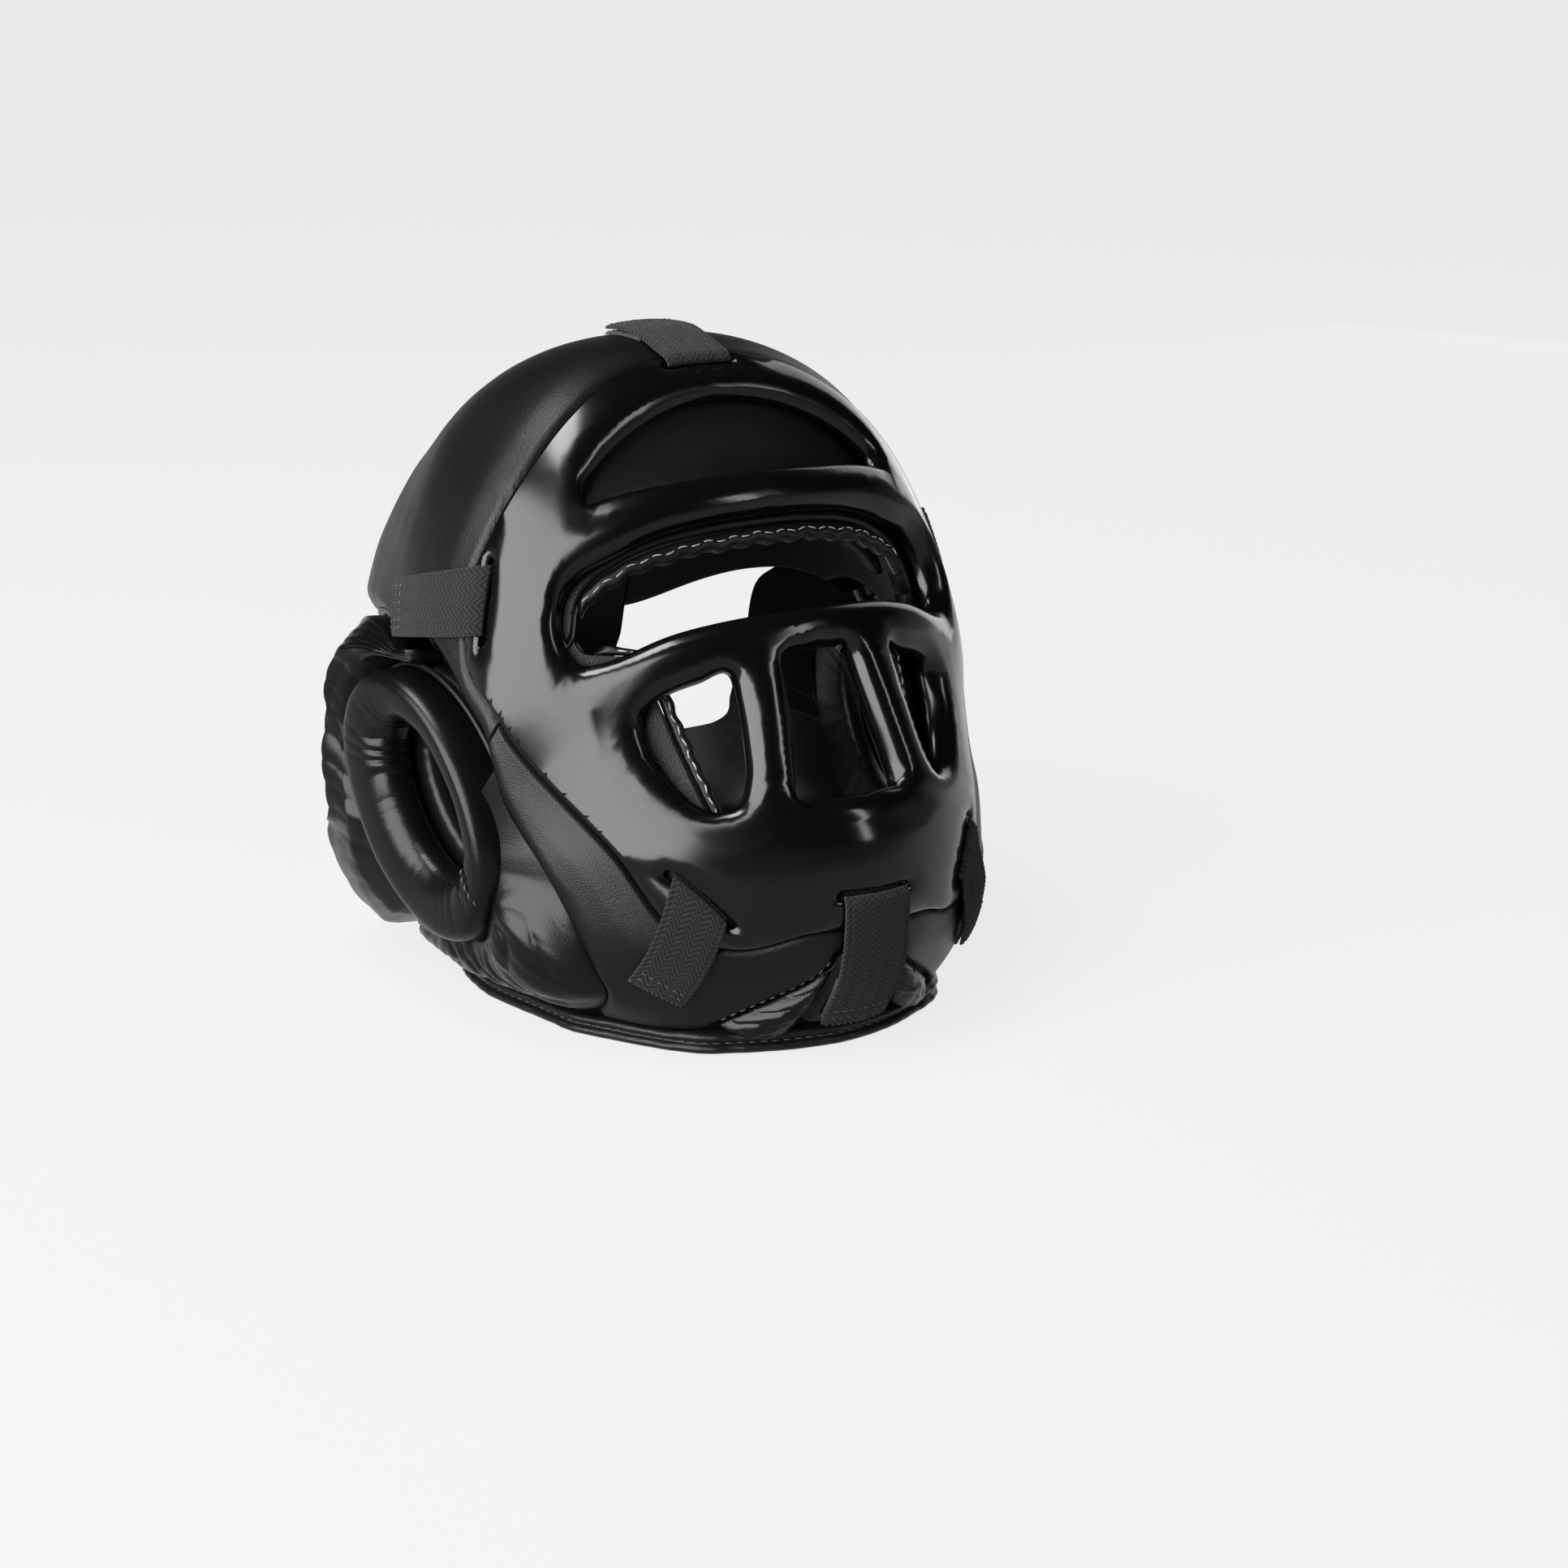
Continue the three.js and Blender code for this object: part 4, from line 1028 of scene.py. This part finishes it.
def chin_gusset(name, hand):
    def place(u, v, top):
        lowest = angle_at_height(lerp(19.0, 44.5, u), RIM_TOP, False)
        around = lerp(lowest, -9.5, v)
        inner = chin_half_width(around)
        side = lerp(inner, np.maximum(through(CHEEK_SEAM, around), inner + 0.3), u)
        if not top:
            return skin(around, hand * side, PAD_INSIDE)
        return skin(around, hand * side, pad_lift(around, side) + gusset_lift(around, side))
    made = slab(f"chin_gusset_cushion_{name}", 90, 90, place, SMOOTH)
    return dress(made, "shell", "smooth_leather", f"chin_gusset_{name}", fill=0.5)


def chin_stitches(name, hand):
    """Stitches along the cheek pad's side of the slanting chin seam."""
    around = np.linspace(-13.5, -33, 60)
    side = through(CHEEK_SEAM, around) + 2.6
    path = skin(around, hand * side, pad_lift(around, side) - 0.75)
    made = stitches(f"chin_seam_stitches_{name}", path, skin_normal(around, hand * side), DARK_THREAD)
    return dress(made, "shell", "smooth_leather")


def jaw_skirt(name, hand):
    def place(u, v, top):
        around = lerp(60, -137, u)
        inner = oval_reach(around, EAR_RING, 1.0)
        slope = np.sin(np.radians(np.maximum(-around, 20)))
        rim = (EAR_Z - RIM_TOP) / slope
        strip = np.where(around > -60, reach_at(around, through(CHEEK_REAR, around) - 1.5), rim)
        outer = np.maximum(np.minimum(rim, strip), inner + 0.5)
        side = side_at(around, lerp(inner, outer, v))
        if not top:
            return skin(around, hand * side, -14)
        gather = pleats(u * 1.02 + 0.05 * np.sin(6 * v + 14 * u), 11, 0.55) - 0.5
        fine = pleats(u + 0.3, 27, 0.8) - 0.5
        tall = np.exp(-(((u - 0.431) / 0.035) ** 2)) + 0.7 * np.exp(-(((u - 0.563) / 0.028) ** 2))
        body = np.sin(math.pi * np.clip(v, 0, 1)) ** 0.6
        open_part = smooth(0.3, 0.53, u)
        lift = -5 + (1.5 + 7.2 * body) * open_part
        lift = lift + open_part * body * (1.7 * gather + 0.35 * fine + 2.4 * tall * (1 - v))
        return skin(around, hand * side, lift)
    made = slab(f"jaw_skirt_cushion_{name}", 170, 40, place, SMOOTH)
    return dress(made, "shell", "smooth_leather", f"jaw_skirt_{name}", fill=0.5)


def rear_wing(name, hand):
    def place(u, v, top):
        rear_low = angle_at_height(30.0, RIM_TOP + 1, True)
        around = lerp(118, lerp(222, rear_low, u), v)
        ring_side = side_at(around, oval_reach(around, EAR_RING, 2.5))
        side = between(ring_side, through(WING_REAR, around), u)
        if not top:
            return skin(around, hand * side, ramp([(166, -14), (175, -7)], around))
        full = ramp([(0, -1.5), (0.12, 9), (0.3, 14), (0.6, 8.5), (0.82, 3.6), (0.96, 1.8), (1, -3)], u)
        fade = ramp([(0, -0.2), (0.08, 0.55), (0.2, 1), (0.75, 1), (0.94, 0.6), (1, 0.1)], v)
        flat = bare_skin(around, side)
        body = np.sin(math.pi * np.clip(u, 0, 1)) ** 0.5 * np.sin(math.pi * np.clip(v, 0, 1)) ** 0.5
        top_gathers = pleats(u * 0.9 + 0.08 * np.sin(8 * v), 8, 0.6) - 0.5
        ring_gathers = pleats(v + 0.05 * np.sin(7 * u), 15, 0.6) - 0.5
        long_folds = pleats(v * 0.6 + 0.35 * u + 0.03 * ripple(flat, 30, 21), 6, 0.8) - 0.5
        lift = full * fade
        lift = lift + body * 2.6 * top_gathers * np.exp(-v / 0.2)
        lift = lift + body * 1.9 * ring_gathers * np.exp(-u / 0.3)
        lift = lift + body * (1.1 * long_folds + 0.5 * ripple(flat, 16, 22))
        return skin(around, hand * side, lift)
    made = slab(f"rear_wing_cushion_{name}", 90, 130, place, SMOOTH)
    return dress(made, f"rear_{name}", "smooth_leather", f"rear_wing_{name}", fill=0.6)


def nape_pad():
    def place(u, v, top):
        lowest = float(angle_at_height(50.0, RIM_TOP + 6, True)) - 14
        highest = through(DOME_REAR, 0.48 * np.abs(2 * u - 1)) - 4
        around = lerp(highest, min(lowest, 203), v)
        side = (2 * u - 1) * through(NAPE_SIDE, around)
        if not top:
            return skin(around, side, -20)
        roll = edge_roll(u, v, 0.09, 0.09)
        flat = bare_skin(around, side)
        channel = np.exp(-((side / 2.2) ** 2)) + np.exp(-(((np.abs(side) - 26) / 2.2) ** 2))
        lift = ramp([(165, -2.5), (172, -4.5), (178, -11)], around) - 1.8 * channel
        lift = lift + 0.5 * ripple(flat, 24, 31)
        return skin(around, side, lerp(-16, lift, 0.2 + 0.8 * roll))
    made = slab("nape_cushion", 80, 60, place, SMOOTH)
    return dress(made, "shell", "smooth_leather", "nape_pad", fill=0.6)


# ---------- lining ----------


def liner(name, node, low, high, half_width, seed):
    def place(u, v, top):
        side = side_of((2 * u - 1) * turn_of(half_width))
        around = lerp(low, through(high, np.abs(2 * u - 1)), v)
        flat = bare_skin(around, side)
        if top:
            return skin(around, side, PAD_INSIDE - LINER_GAP)
        roll = edge_roll(u, v, 0.07, 0.16)
        puff = 0.8 * ripple(flat, 30, seed) + 1.4 * (pleats(u, 9, 0.5) - 0.6)
        return skin(around, side, lerp(PAD_INSIDE - LINER_GAP - 2, LINER_INSIDE + puff, roll))
    made = slab(name, 120, 50, place, LINING)
    return dress(made, "shell", "lining", node, fill=0.6)


def side_liner(name, hand):
    def place(u, v, top):
        around = lerp(-24, 63, v)
        front = through(CHEEK_FRONT, around) + 2
        side = between(front, through(CHEEK_REAR, around) - 3, u)
        if top:
            return skin(around, hand * side, PAD_INSIDE - LINER_GAP)
        roll = edge_roll(u, v, 0.16, 0.1)
        flat = bare_skin(around, side)
        folds = 1.6 * (pleats(v + 0.12 * u, 7, 0.55) - 0.55) + 0.6 * ripple(flat, 18, 41 + hand)
        return skin(around, hand * side, lerp(PAD_INSIDE - LINER_GAP - 2, LINER_INSIDE + folds, roll))
    made = slab(f"cheek_lining_{name}", 50, 90, place, LINING)
    return dress(made, "shell", "lining", f"cheek_liner_{name}", fill=0.6)


def wavy(at, count, size):
    return size * (np.sin(2 * math.pi * count * at) + 0.5 * np.sin(2 * math.pi * count * 0.43 * at + 1))


def brow_binding():
    """The folded edge of the lining under the brow, pulled into small waves by its stitches."""
    def place(u, v, top):
        side = side_of((2 * u - 1) * turn_of(74))
        wave = wavy(u, 15, 0.28)
        around = brow_edge(side) - lerp(3.0, 0.3, v) + wave * (1 - v)
        roll = edge_roll(u, v, 0.02, 0.35)
        lift = lerp(-14.5, -11.6, roll) if top else lerp(-14.5, -17, roll)
        return skin(around, side, lift + 0.3 * wave)
    made = slab("brow_edge_binding", 240, 12, place, BINDING)
    return dress(made, "shell", "binding", "brow_binding")


def brow_stitches():
    u = np.linspace(0.01, 0.99, 400)
    side = side_of((2 * u - 1) * turn_of(74))
    wave = wavy(u, 15, 0.28)
    around = brow_edge(side) - 1.8 + wave * 0.7
    path = skin(around, side, -11.3 + 0.3 * wave)
    made = stitches("brow_edge_stitches", path, skin_normal(around, side), PALE_THREAD, 3.4, 1.4, 0.24)
    return dress(made, "shell", "binding")


def cheek_binding(name, hand):
    def place(u, v, top):
        around = lerp(7, 62, v)
        side = through(CHEEK_FRONT, around) - lerp(4.2, 0.3, u) + wavy(v, 11, 0.3) * (1 - u)
        roll = edge_roll(u, v, 0.35, 0.03)
        lift = lerp(-14.5, -11.6, roll) if top else lerp(-14.5, -17, roll)
        return skin(around, hand * side, lift)
    made = slab(f"cheek_edge_binding_{name}", 12, 130, place, BINDING)
    return dress(made, "shell", "binding", f"cheek_binding_{name}")


def cheek_stitches(name, hand):
    v = np.linspace(0.02, 0.98, 240)
    around = lerp(7, 62, v)
    side = hand * (through(CHEEK_FRONT, around) - 2.6 + wavy(v, 11, 0.3))
    path = skin(around, side, np.full(240, -11.4))
    outwards = skin_normal(around, side)
    made = stitches(f"cheek_edge_stitches_{name}", path, outwards, PALE_THREAD, 3.2, 1.2, 0.28)
    return dress(made, "shell", "binding")


# ---------- ears ----------


def oval_point(oval, hand, turn, growth, height):
    lean = math.radians(oval["lean"])
    along = (oval["long"] + growth) * np.cos(turn)
    across = (oval["short"] + growth) * np.sin(turn)
    back = oval["back"] + along * math.sin(lean) + across * math.cos(lean)
    up = oval["up"] + along * math.cos(lean) - across * math.sin(lean)
    side = EAR_PLANE["x"] + EAR_PLANE["slope"] * back + height
    return np.stack([hand * side, EAR_Y + back, EAR_Z + up], -1)


def round_gap(turn, middle):
    return np.abs((turn - middle + math.pi) % (2 * math.pi) - math.pi)


def ear_ring(name, hand):
    """A stuffed ring, gathered into its hole at the upper rear and at the bottom."""
    def place(s, a):
        turn = 2 * math.pi * s
        outer = oval_point(EAR_RING, hand, turn, 0, 0)
        inner = oval_point(EAR_HOLE, hand, turn, 0, 0)
        middle = lerp(outer, inner, 0.5)
        roll = 2 * math.pi * a
        c, w = np.cos(roll), np.sin(roll)
        flat_c = np.sign(c) * np.abs(c) ** 0.66
        flat_w = np.sign(w) * np.abs(w) ** 0.8 * (1 + 0.14 * c)
        towards_hole = smooth(-0.35, 1, -c)
        place_a = np.exp(-((round_gap(turn, math.radians(40)) / 0.5) ** 2))
        place_b = np.exp(-((round_gap(turn, math.radians(196)) / 0.42) ** 2))
        gathered = 0.05 + np.clip(place_a + place_b, 0, 1)
        fold = pleats(s + 0.006 * np.sin(3 * roll) + 0.01 * np.sin(9 * turn), 31, 0.5) - 0.6
        broad = ripple(middle, 30, 51)
        puff = gathered * fold * (0.15 + 1.9 * towards_hole) * 1.2 + 0.3 * broad
        size = 1 + 0.05 * puff
        point = lerp(middle, outer, (flat_c * size)[..., None])
        point[..., 0] += hand * (RING_HALF_HEIGHT * flat_w * size + 0.5 * puff)
        return point
    made = ring_solid(f"ear_ring_cushion_{name}", 320, 40, place, SMOOTH)
    return dress(made, "shell", "smooth_leather", f"ear_ring_{name}", fill=0.85)


def ear_panel(name, hand):
    """The leather panel behind the ring, with a rolled outer edge."""
    def place(s, a):
        turn = 2 * math.pi * s
        roll = 2 * math.pi * a
        outer = oval_point(EAR_RING, hand, turn, 0.6, 0)
        inner = oval_point(EAR_HOLE, hand, turn, -2, 0)
        middle = lerp(outer, inner, 0.5)
        c, w = np.cos(roll), np.sin(roll)
        point = lerp(middle, outer, (np.sign(c) * np.abs(c) ** 0.35)[..., None])
        folds = 0.25 * (pleats(s, 30, 0.7) - 0.5)
        depth = -RING_HALF_HEIGHT - 4.8 + 4.2 * np.sign(w) * np.abs(w) ** 0.5 + folds
        point[..., 0] += hand * depth
        return point
    made = ring_solid(f"ear_back_panel_{name}", 160, 20, place, LINING)
    return dress(made, "shell", "lining", f"ear_panel_{name}", fill=0.4)


def ear_piping(name, hand):
    turn = np.linspace(0, 2 * math.pi, 150, endpoint=False)
    path = oval_point(EAR_RING, hand, turn, 0.6, -RING_HALF_HEIGHT + 2.4)
    return dress(tube(f"ear_ring_piping_{name}", path, 1.15, BINDING, closed=True), "shell", "binding")


def ear_seam(name, hand):
    """The ring's closing seam at its lower front, with stitches across it."""
    turn = math.radians(203)
    outer = oval_point(EAR_RING, hand, turn, 0, 0)
    inner = oval_point(EAR_HOLE, hand, turn, 0, 0)
    part = np.linspace(0.1, 0.95, 26)
    height = RING_HALF_HEIGHT * np.clip(1 - np.abs(2 * part - 1) ** 2.6, 0, 1) ** (1 / 2.6)
    path = lerp(inner, outer, part[:, None])
    path[:, 0] += hand * (height + 0.15)
    outwards = np.tile([hand * 1.0, 0.0, 0.0], (26, 1)) + (lerp(inner, outer, 0.5) - path) * -0.03
    made = stitches(f"ear_ring_seam_{name}", path, outwards, DARK_THREAD, 2.2, 0.9, 0.4, 0.4)
    return dress(made, "shell", "smooth_leather")


# ---------- bottom rim ----------

RIM_STEP = 1.2

def rim_curve():
    """Evenly spaced points along the lower edge, from one side of the nape round to the other."""
    half = [bare_skin(angle_at_height(side, RIM_TOP, False), side) for side in (0.0, 18.0, 36.0, 52.0)]
    for around in range(-58, -135, -12):
        reach = (EAR_Z - RIM_TOP) / math.sin(math.radians(-around))
        half.append(bare_skin(around, side_at(around, reach)))
    half = [np.asarray(p, float).reshape(3) for p in half]
    other = [p * [-1, 1, 1] for p in half[1:]][::-1]
    knots = np.array(other + half)
    at = np.concatenate([[0], np.cumsum(np.linalg.norm(np.diff(knots, axis=0), axis=1) ** 0.5)])
    fine = np.linspace(0, at[-1], 2000)
    path = np.stack([through(list(zip(at, knots[:, k])), fine) for k in range(3)], 1)
    run = np.concatenate([[0], np.cumsum(np.linalg.norm(np.diff(path, axis=0), axis=1))])
    even_run = np.linspace(0, run[-1], int(run[-1] / RIM_STEP))
    return np.stack([np.interp(even_run, run, path[:, k]) for k in range(3)], 1)


def rim_binding():
    """The folded strip round the bottom edge: two rolls of piping with a groove between them."""
    curve = rim_curve()
    count = len(curve)
    along = np.gradient(curve, axis=0)
    inwards = np.stack([-along[:, 1], along[:, 0], np.zeros(count)], 1)
    inwards /= np.linalg.norm(inwards, axis=1, keepdims=True)

    def place(u, v, top):
        i = np.minimum(np.rint(u * (count - 1)).astype(int), count - 1)
        here = curve[i].copy()
        rolls = np.abs(np.sin(2 * math.pi * np.clip(v, 0, 1))) ** 0.6
        pull = 0.35 * ripple(here, 14, 61) + 0.25 * ripple(here, 6, 62)
        outer = 1.6 - 2.5 * rolls - pull * rolls
        here += inwards[i] * (np.where(top == 1, 11.6, 1.0) * np.ones_like(outer))[..., None]
        if not top:
            here -= inwards[i] * (1.0 - outer)[..., None]
        here[..., 2] = RIM_HEIGHT * v + 0.3 * ripple(curve[i], 22, 63) * smooth(0.2, 1, v)
        return here
    made = slab("rim_edge_binding", count - 1, 16, place, BINDING)
    return dress(made, "shell", "binding", "rim_binding")


def rim_stitches():
    curve = rim_curve()
    along = np.gradient(curve, axis=0)
    outwards = np.stack([along[:, 1], -along[:, 0], np.zeros(len(curve))], 1)
    outwards /= np.linalg.norm(outwards, axis=1, keepdims=True)
    path = curve - outwards * 1.1
    path[:, 2] = RIM_HEIGHT * 0.5
    made = stitches("rim_edge_stitches", path, outwards, DARK_THREAD, 2.8, 1.2, 0.34)
    return dress(made, "shell", "binding")


# ---------- webbing ----------

WEB_THICKNESS = 1.5
FLAP_LIFT = [(0, -1.2), (0.03, -0.2), (0.07, 0.45), (0.25, 0.5), (0.6, 2.2), (1, 2.2)]
PATCH_REACH = {"top": (0.5, 1.06), "chin": (0.6, 0.98), "temple": (0.36, 1.06), "cheek": (0.68, 1.06)}


def band_point(tab, part, wide):
    """The angle and side of a tab's point; a straight tab runs between its ends in space."""
    slot, end = tab["slot"], tab["end"]
    if "straight" in tab:
        part, wide = np.broadcast_arrays(np.asarray(part, float), np.asarray(wide, float))
        near = lerp(bare_skin(*slot[0]), bare_skin(*slot[1]), wide[..., None])
        far = lerp(bare_skin(*end[0]), bare_skin(*end[1]), wide[..., None])
        point = lerp(near, far, part[..., None])
        back, up = point[..., 1] - EAR_Y, point[..., 2] - EAR_Z
        around = np.degrees(np.arctan2(up, -back))
        return around, np.sign(point[..., 0]) * side_at(around, np.hypot(back, up))
    at = [
        lerp(lerp(slot[0][k], slot[1][k], wide), lerp(end[0][k], end[1][k], wide), part) for k in (0, 1)
    ]
    return at[0], at[1]


def band_size(tab):
    """Width and length of a tab over the skin, in millimetres."""
    across = [bare_skin(*band_point(tab, 0.5, w)) for w in (0, 1)]
    along = [bare_skin(*band_point(tab, p, 0.5)) for p in np.linspace(0, 1, 12)]
    width = float(np.linalg.norm(across[1] - across[0]))
    return width, float(sum(np.linalg.norm(b - a) for a, b in zip(along, along[1:])))


def weave(across, along):
    """Height of herringbone webbing, -1 to 1, from millimetres across and along it."""
    chevron = np.abs((across / WEAVE_WIDTH) % 1 - 0.5) * WEAVE_WIDTH
    return np.sin(2 * math.pi * (along + chevron) / WEAVE_STEP)


def cloth_in_millimetres(made, order, width, run):
    """Turns a band's cloth attribute from parts of the sheet into millimetres across and along."""
    layer = made.data.attributes["cloth"]
    values = np.zeros(len(made.data.vertices) * 3, np.float32)
    layer.data.foreach_get("vector", values)
    values = values.reshape(-1, 3)[:, order] * [width, run, 1]
    layer.data.foreach_set("vector", values.astype(np.float32).ravel())


def tab_band(name, tab, start, finish, lift_knots, look, frayed=True):
    width, length = band_size(tab)
    run = (finish - start) * length
    columns, rows = 64, max(8, int(run * 2))

    def place(u, v, top):
        part = lerp(start, finish, v)
        around, side = band_point(tab, part, u)
        ragged = 0.25 * np.sin(u * 70) * smooth(0.97, 1, v) if frayed else 0
        edge = np.minimum(u, 1 - u) * width
        pull = 0.45 * (1 - np.clip(edge / 1.2, 0, 1)) ** 2
        tube_edge = 0.28 * np.exp(-(((edge - 1.6) / 0.5) ** 2))
        height = 0.13 * weave(u * width, v * run) - pull - tube_edge
        curl = 0.5 * smooth(0.75, 1, v) * np.sin(math.pi * u) if frayed else 0
        lift = ramp(lift_knots, part) + curl
        lift = lift + (WEB_THICKNESS + height if top else -0.3 * height)
        return skin(around + ragged, side, lift)
    made = slab(name, columns, rows, place, look)
    cloth_in_millimetres(made, [0, 1, 2], width, run)
    return made


def tab_stitches(name, tab, part, body):
    """A row of stitches across a tab, where its layers are sewn together."""
    wide = np.linspace(0.06, 0.94, 40)
    around, side = band_point(tab, np.full(40, part), wide)
    path = skin(around, side, ramp(FLAP_LIFT, part) + WEB_THICKNESS + 0.05)
    made = stitches(name, path, skin_normal(around, side), DARK_THREAD, 2.0, 0.9, 0.26)
    return dress(made, body, "webbing")


def tabs():
    for name, tab in TABS.items():
        body = f"{name}_tab"
        flap = tab_band(f"{name}_tab_webbing", tab, 0, 1, FLAP_LIFT, WEBBING)
        dress(flap, body, "webbing", f"{name}_tab_flap")
        for row, part in enumerate((0.86, 0.93)):
            tab_stitches(f"{name}_tab_stitches_{row}", tab, part, body)
        under = tab_band(
            f"{name}_tab_under_layer", tab, -0.02, 0.13, [(0, -5.8), (1, -5.8)], WEBBING, frayed=False
        )
        dress(under, "cage", "webbing", f"{name}_tab_root")
        start, finish = PATCH_REACH[name.split("_")[0]]
        loop_patch(f"{name}_loop_strip", tab, start, finish, f"{name}_loop_patch")


def loop_patch(name, tab, start, finish, node):
    def place(u, v, top):
        part = lerp(start, finish, v)
        around, side = band_point(tab, part, lerp(0.02, 0.98, u))
        flat = bare_skin(around, side)
        roll = edge_roll(u, v, 0.03, 0.04)
        fuzz = 0.18 * ripple(flat, 1.6, 71) + 0.1 * ripple(flat, 0.9, 72)
        lift = pad_lift(around, side) + (0.55 + (0.8 + fuzz) * roll if top else 0.3)
        return skin(around, side, lift)
    made = slab(name, 70, 60, place, LOOP)
    return dress(made, "shell", "loop_pile", node)


def rear_strap():
    width, run = 24.0, 100.0

    def place(u, v, top):
        side = lerp(-50, 50, u)
        height = 0.13 * weave(v * width, u * run)
        edge = np.minimum(v, 1 - v) * width
        height = height - 0.45 * (1 - np.clip(edge / 1.2, 0, 1)) ** 2
        lift = ramp([(-20, 5.6), (20, 4.2)], side) + (1.8 + height if top else -0.2 * height)
        return skin(lerp(189, 200.5, v), side, lift)
    made = slab("rear_strap_webbing", 200, 60, place, WEBBING)
    cloth_in_millimetres(made, [1, 0, 2], width, run)
    dress(made, "rear_strap_body", "webbing", "rear_strap")

    def patch_place(u, v, top):
        side = lerp(-52, -34, u)
        around = lerp(189.5, 200, v)
        flat = bare_skin(around, side)
        roll = edge_roll(u, v, 0.05, 0.05)
        fuzz = 0.15 * ripple(flat, 1.6, 73)
        return skin(around, side, 3.8 + (0.4 + (0.9 + fuzz) * roll if top else 0.0))
    patch = slab("rear_loop_strip", 50, 60, patch_place, LOOP)
    dress(patch, "rear_right", "loop_pile", "rear_strap_patch")


# ---------- studio ----------

CAMERA_AZIMUTH, CAMERA_ELEVATION = math.radians(-32.565), math.radians(14.675)
CAMERA_DISTANCE = 1.1994
CAMERA_LENS = 77.1
LOOKED_AT = Vector((0, 0.0016, 0.098))
OFF_CENTRE = (0.0394, -0.0323)


def camera():
    right = Vector((math.cos(CAMERA_AZIMUTH), math.sin(CAMERA_AZIMUTH), 0))
    level = Vector((math.sin(CAMERA_AZIMUTH), -math.cos(CAMERA_AZIMUTH), 0))
    back = level * math.cos(CAMERA_ELEVATION) + Vector((0, 0, math.sin(CAMERA_ELEVATION)))
    up = back.cross(right)
    place = LOOKED_AT + back * CAMERA_DISTANCE
    aim = LOOKED_AT + right * OFF_CENTRE[0] + up * OFF_CENTRE[1]
    towards = (place - aim).normalized()
    side = up.cross(towards).normalized()
    data = bpy.data.cameras.new("studio_camera")
    data.lens, data.sensor_width = CAMERA_LENS, 36
    made = bpy.data.objects.new("studio_camera", data)
    bpy.context.scene.collection.objects.link(made)
    basis = Matrix((side, towards.cross(side), towards)).transposed()
    made.matrix_world = Matrix.Translation(place) @ basis.to_4x4()
    bpy.context.scene.camera = made


def softbox(name, place, target, size, power):
    data = bpy.data.lights.new(name, "AREA")
    data.shape, data.size, data.size_y, data.energy = "RECTANGLE", size[0], size[1], power
    made = bpy.data.objects.new(name, data)
    bpy.context.scene.collection.objects.link(made)
    made.location = place
    made.rotation_mode = "QUATERNION"
    made.rotation_quaternion = (Vector(target) - Vector(place)).to_track_quat("-Z", "Y")
    return made


def studio():
    low, high = CAD_BOX
    middle = (low + high) / 2
    softbox("side_softbox", (-1.9, -0.5, 0.9), middle, (2.4, 2.2), 290)
    softbox("front_softbox", (0.75, -1.5, 0.9), middle, (0.25, 0.8), 9)
    softbox("top_softbox", (-0.5, 0.15, 1.6), middle, (0.8, 0.45), 36)
    softbox("rear_softbox", (1.3, 0.7, 0.55), middle, (0.6, 1.2), 4)
    world = bpy.data.worlds.new("studio_world")
    world.use_nodes = True
    tree = world.node_tree
    direction = tree.nodes.new("ShaderNodeTexCoord")
    split = tree.nodes.new("ShaderNodeSeparateXYZ")
    fade = tree.nodes.new("ShaderNodeMapRange")
    for socket, value in zip(("From Min", "From Max", "To Min", "To Max"), (0.06, 0.3, 0.35, 0.02)):
        fade.inputs[socket].default_value = value
    tree.links.new(direction.outputs["Generated"], split.inputs["Vector"])
    tree.links.new(split.outputs["Z"], fade.inputs["Value"])
    tree.links.new(fade.outputs["Result"], tree.nodes["Background"].inputs["Color"])
    tree.nodes["Background"].inputs["Strength"].default_value = 1.0
    bpy.context.scene.world = world
    bpy.context.scene.view_settings.view_transform = "Standard"
    floor_look, _, principled = shader("studio_floor", (0.03, 0.03, 0.03), 1.0, Specular_IOR_Level=0.0)
    principled.inputs["Emission Color"].default_value = (1, 1, 1, 1)
    principled.inputs["Emission Strength"].default_value = 0.8
    far = 20000
    points = [(-far, -far, -0.3), (far, -far, -0.3), (far, far, -0.3), (-far, far, -0.3)]
    floor = mesh_object("studio_floor", points, [(0, 1, 2, 3)], floor_look)


camera()
studio()
build_cage()
dome_pad()
dome_piping()
chin_pad()
nape_pad()
liner("forehead_lining", "forehead_liner", 72, [(0, 100), (1, 100)], 78, 81)
liner("crown_lining", "crown_liner", 101, [(0, 156), (0.5, 153), (0.75, 147), (1, 135)], 80, 82)
brow_binding()
brow_stitches()
rim_binding()
rim_stitches()
for hand_name, hand_sign in HANDS.items():
    cheek_pad(hand_name, hand_sign)
    chin_gusset(hand_name, hand_sign)
    chin_stitches(hand_name, hand_sign)
    jaw_skirt(hand_name, hand_sign)
    rear_wing(hand_name, hand_sign)
    side_liner(hand_name, hand_sign)
    cheek_binding(hand_name, hand_sign)
    cheek_stitches(hand_name, hand_sign)
    ear_ring(hand_name, hand_sign)
    ear_panel(hand_name, hand_sign)
    ear_piping(hand_name, hand_sign)
    ear_seam(hand_name, hand_sign)
tabs()
rear_strap()
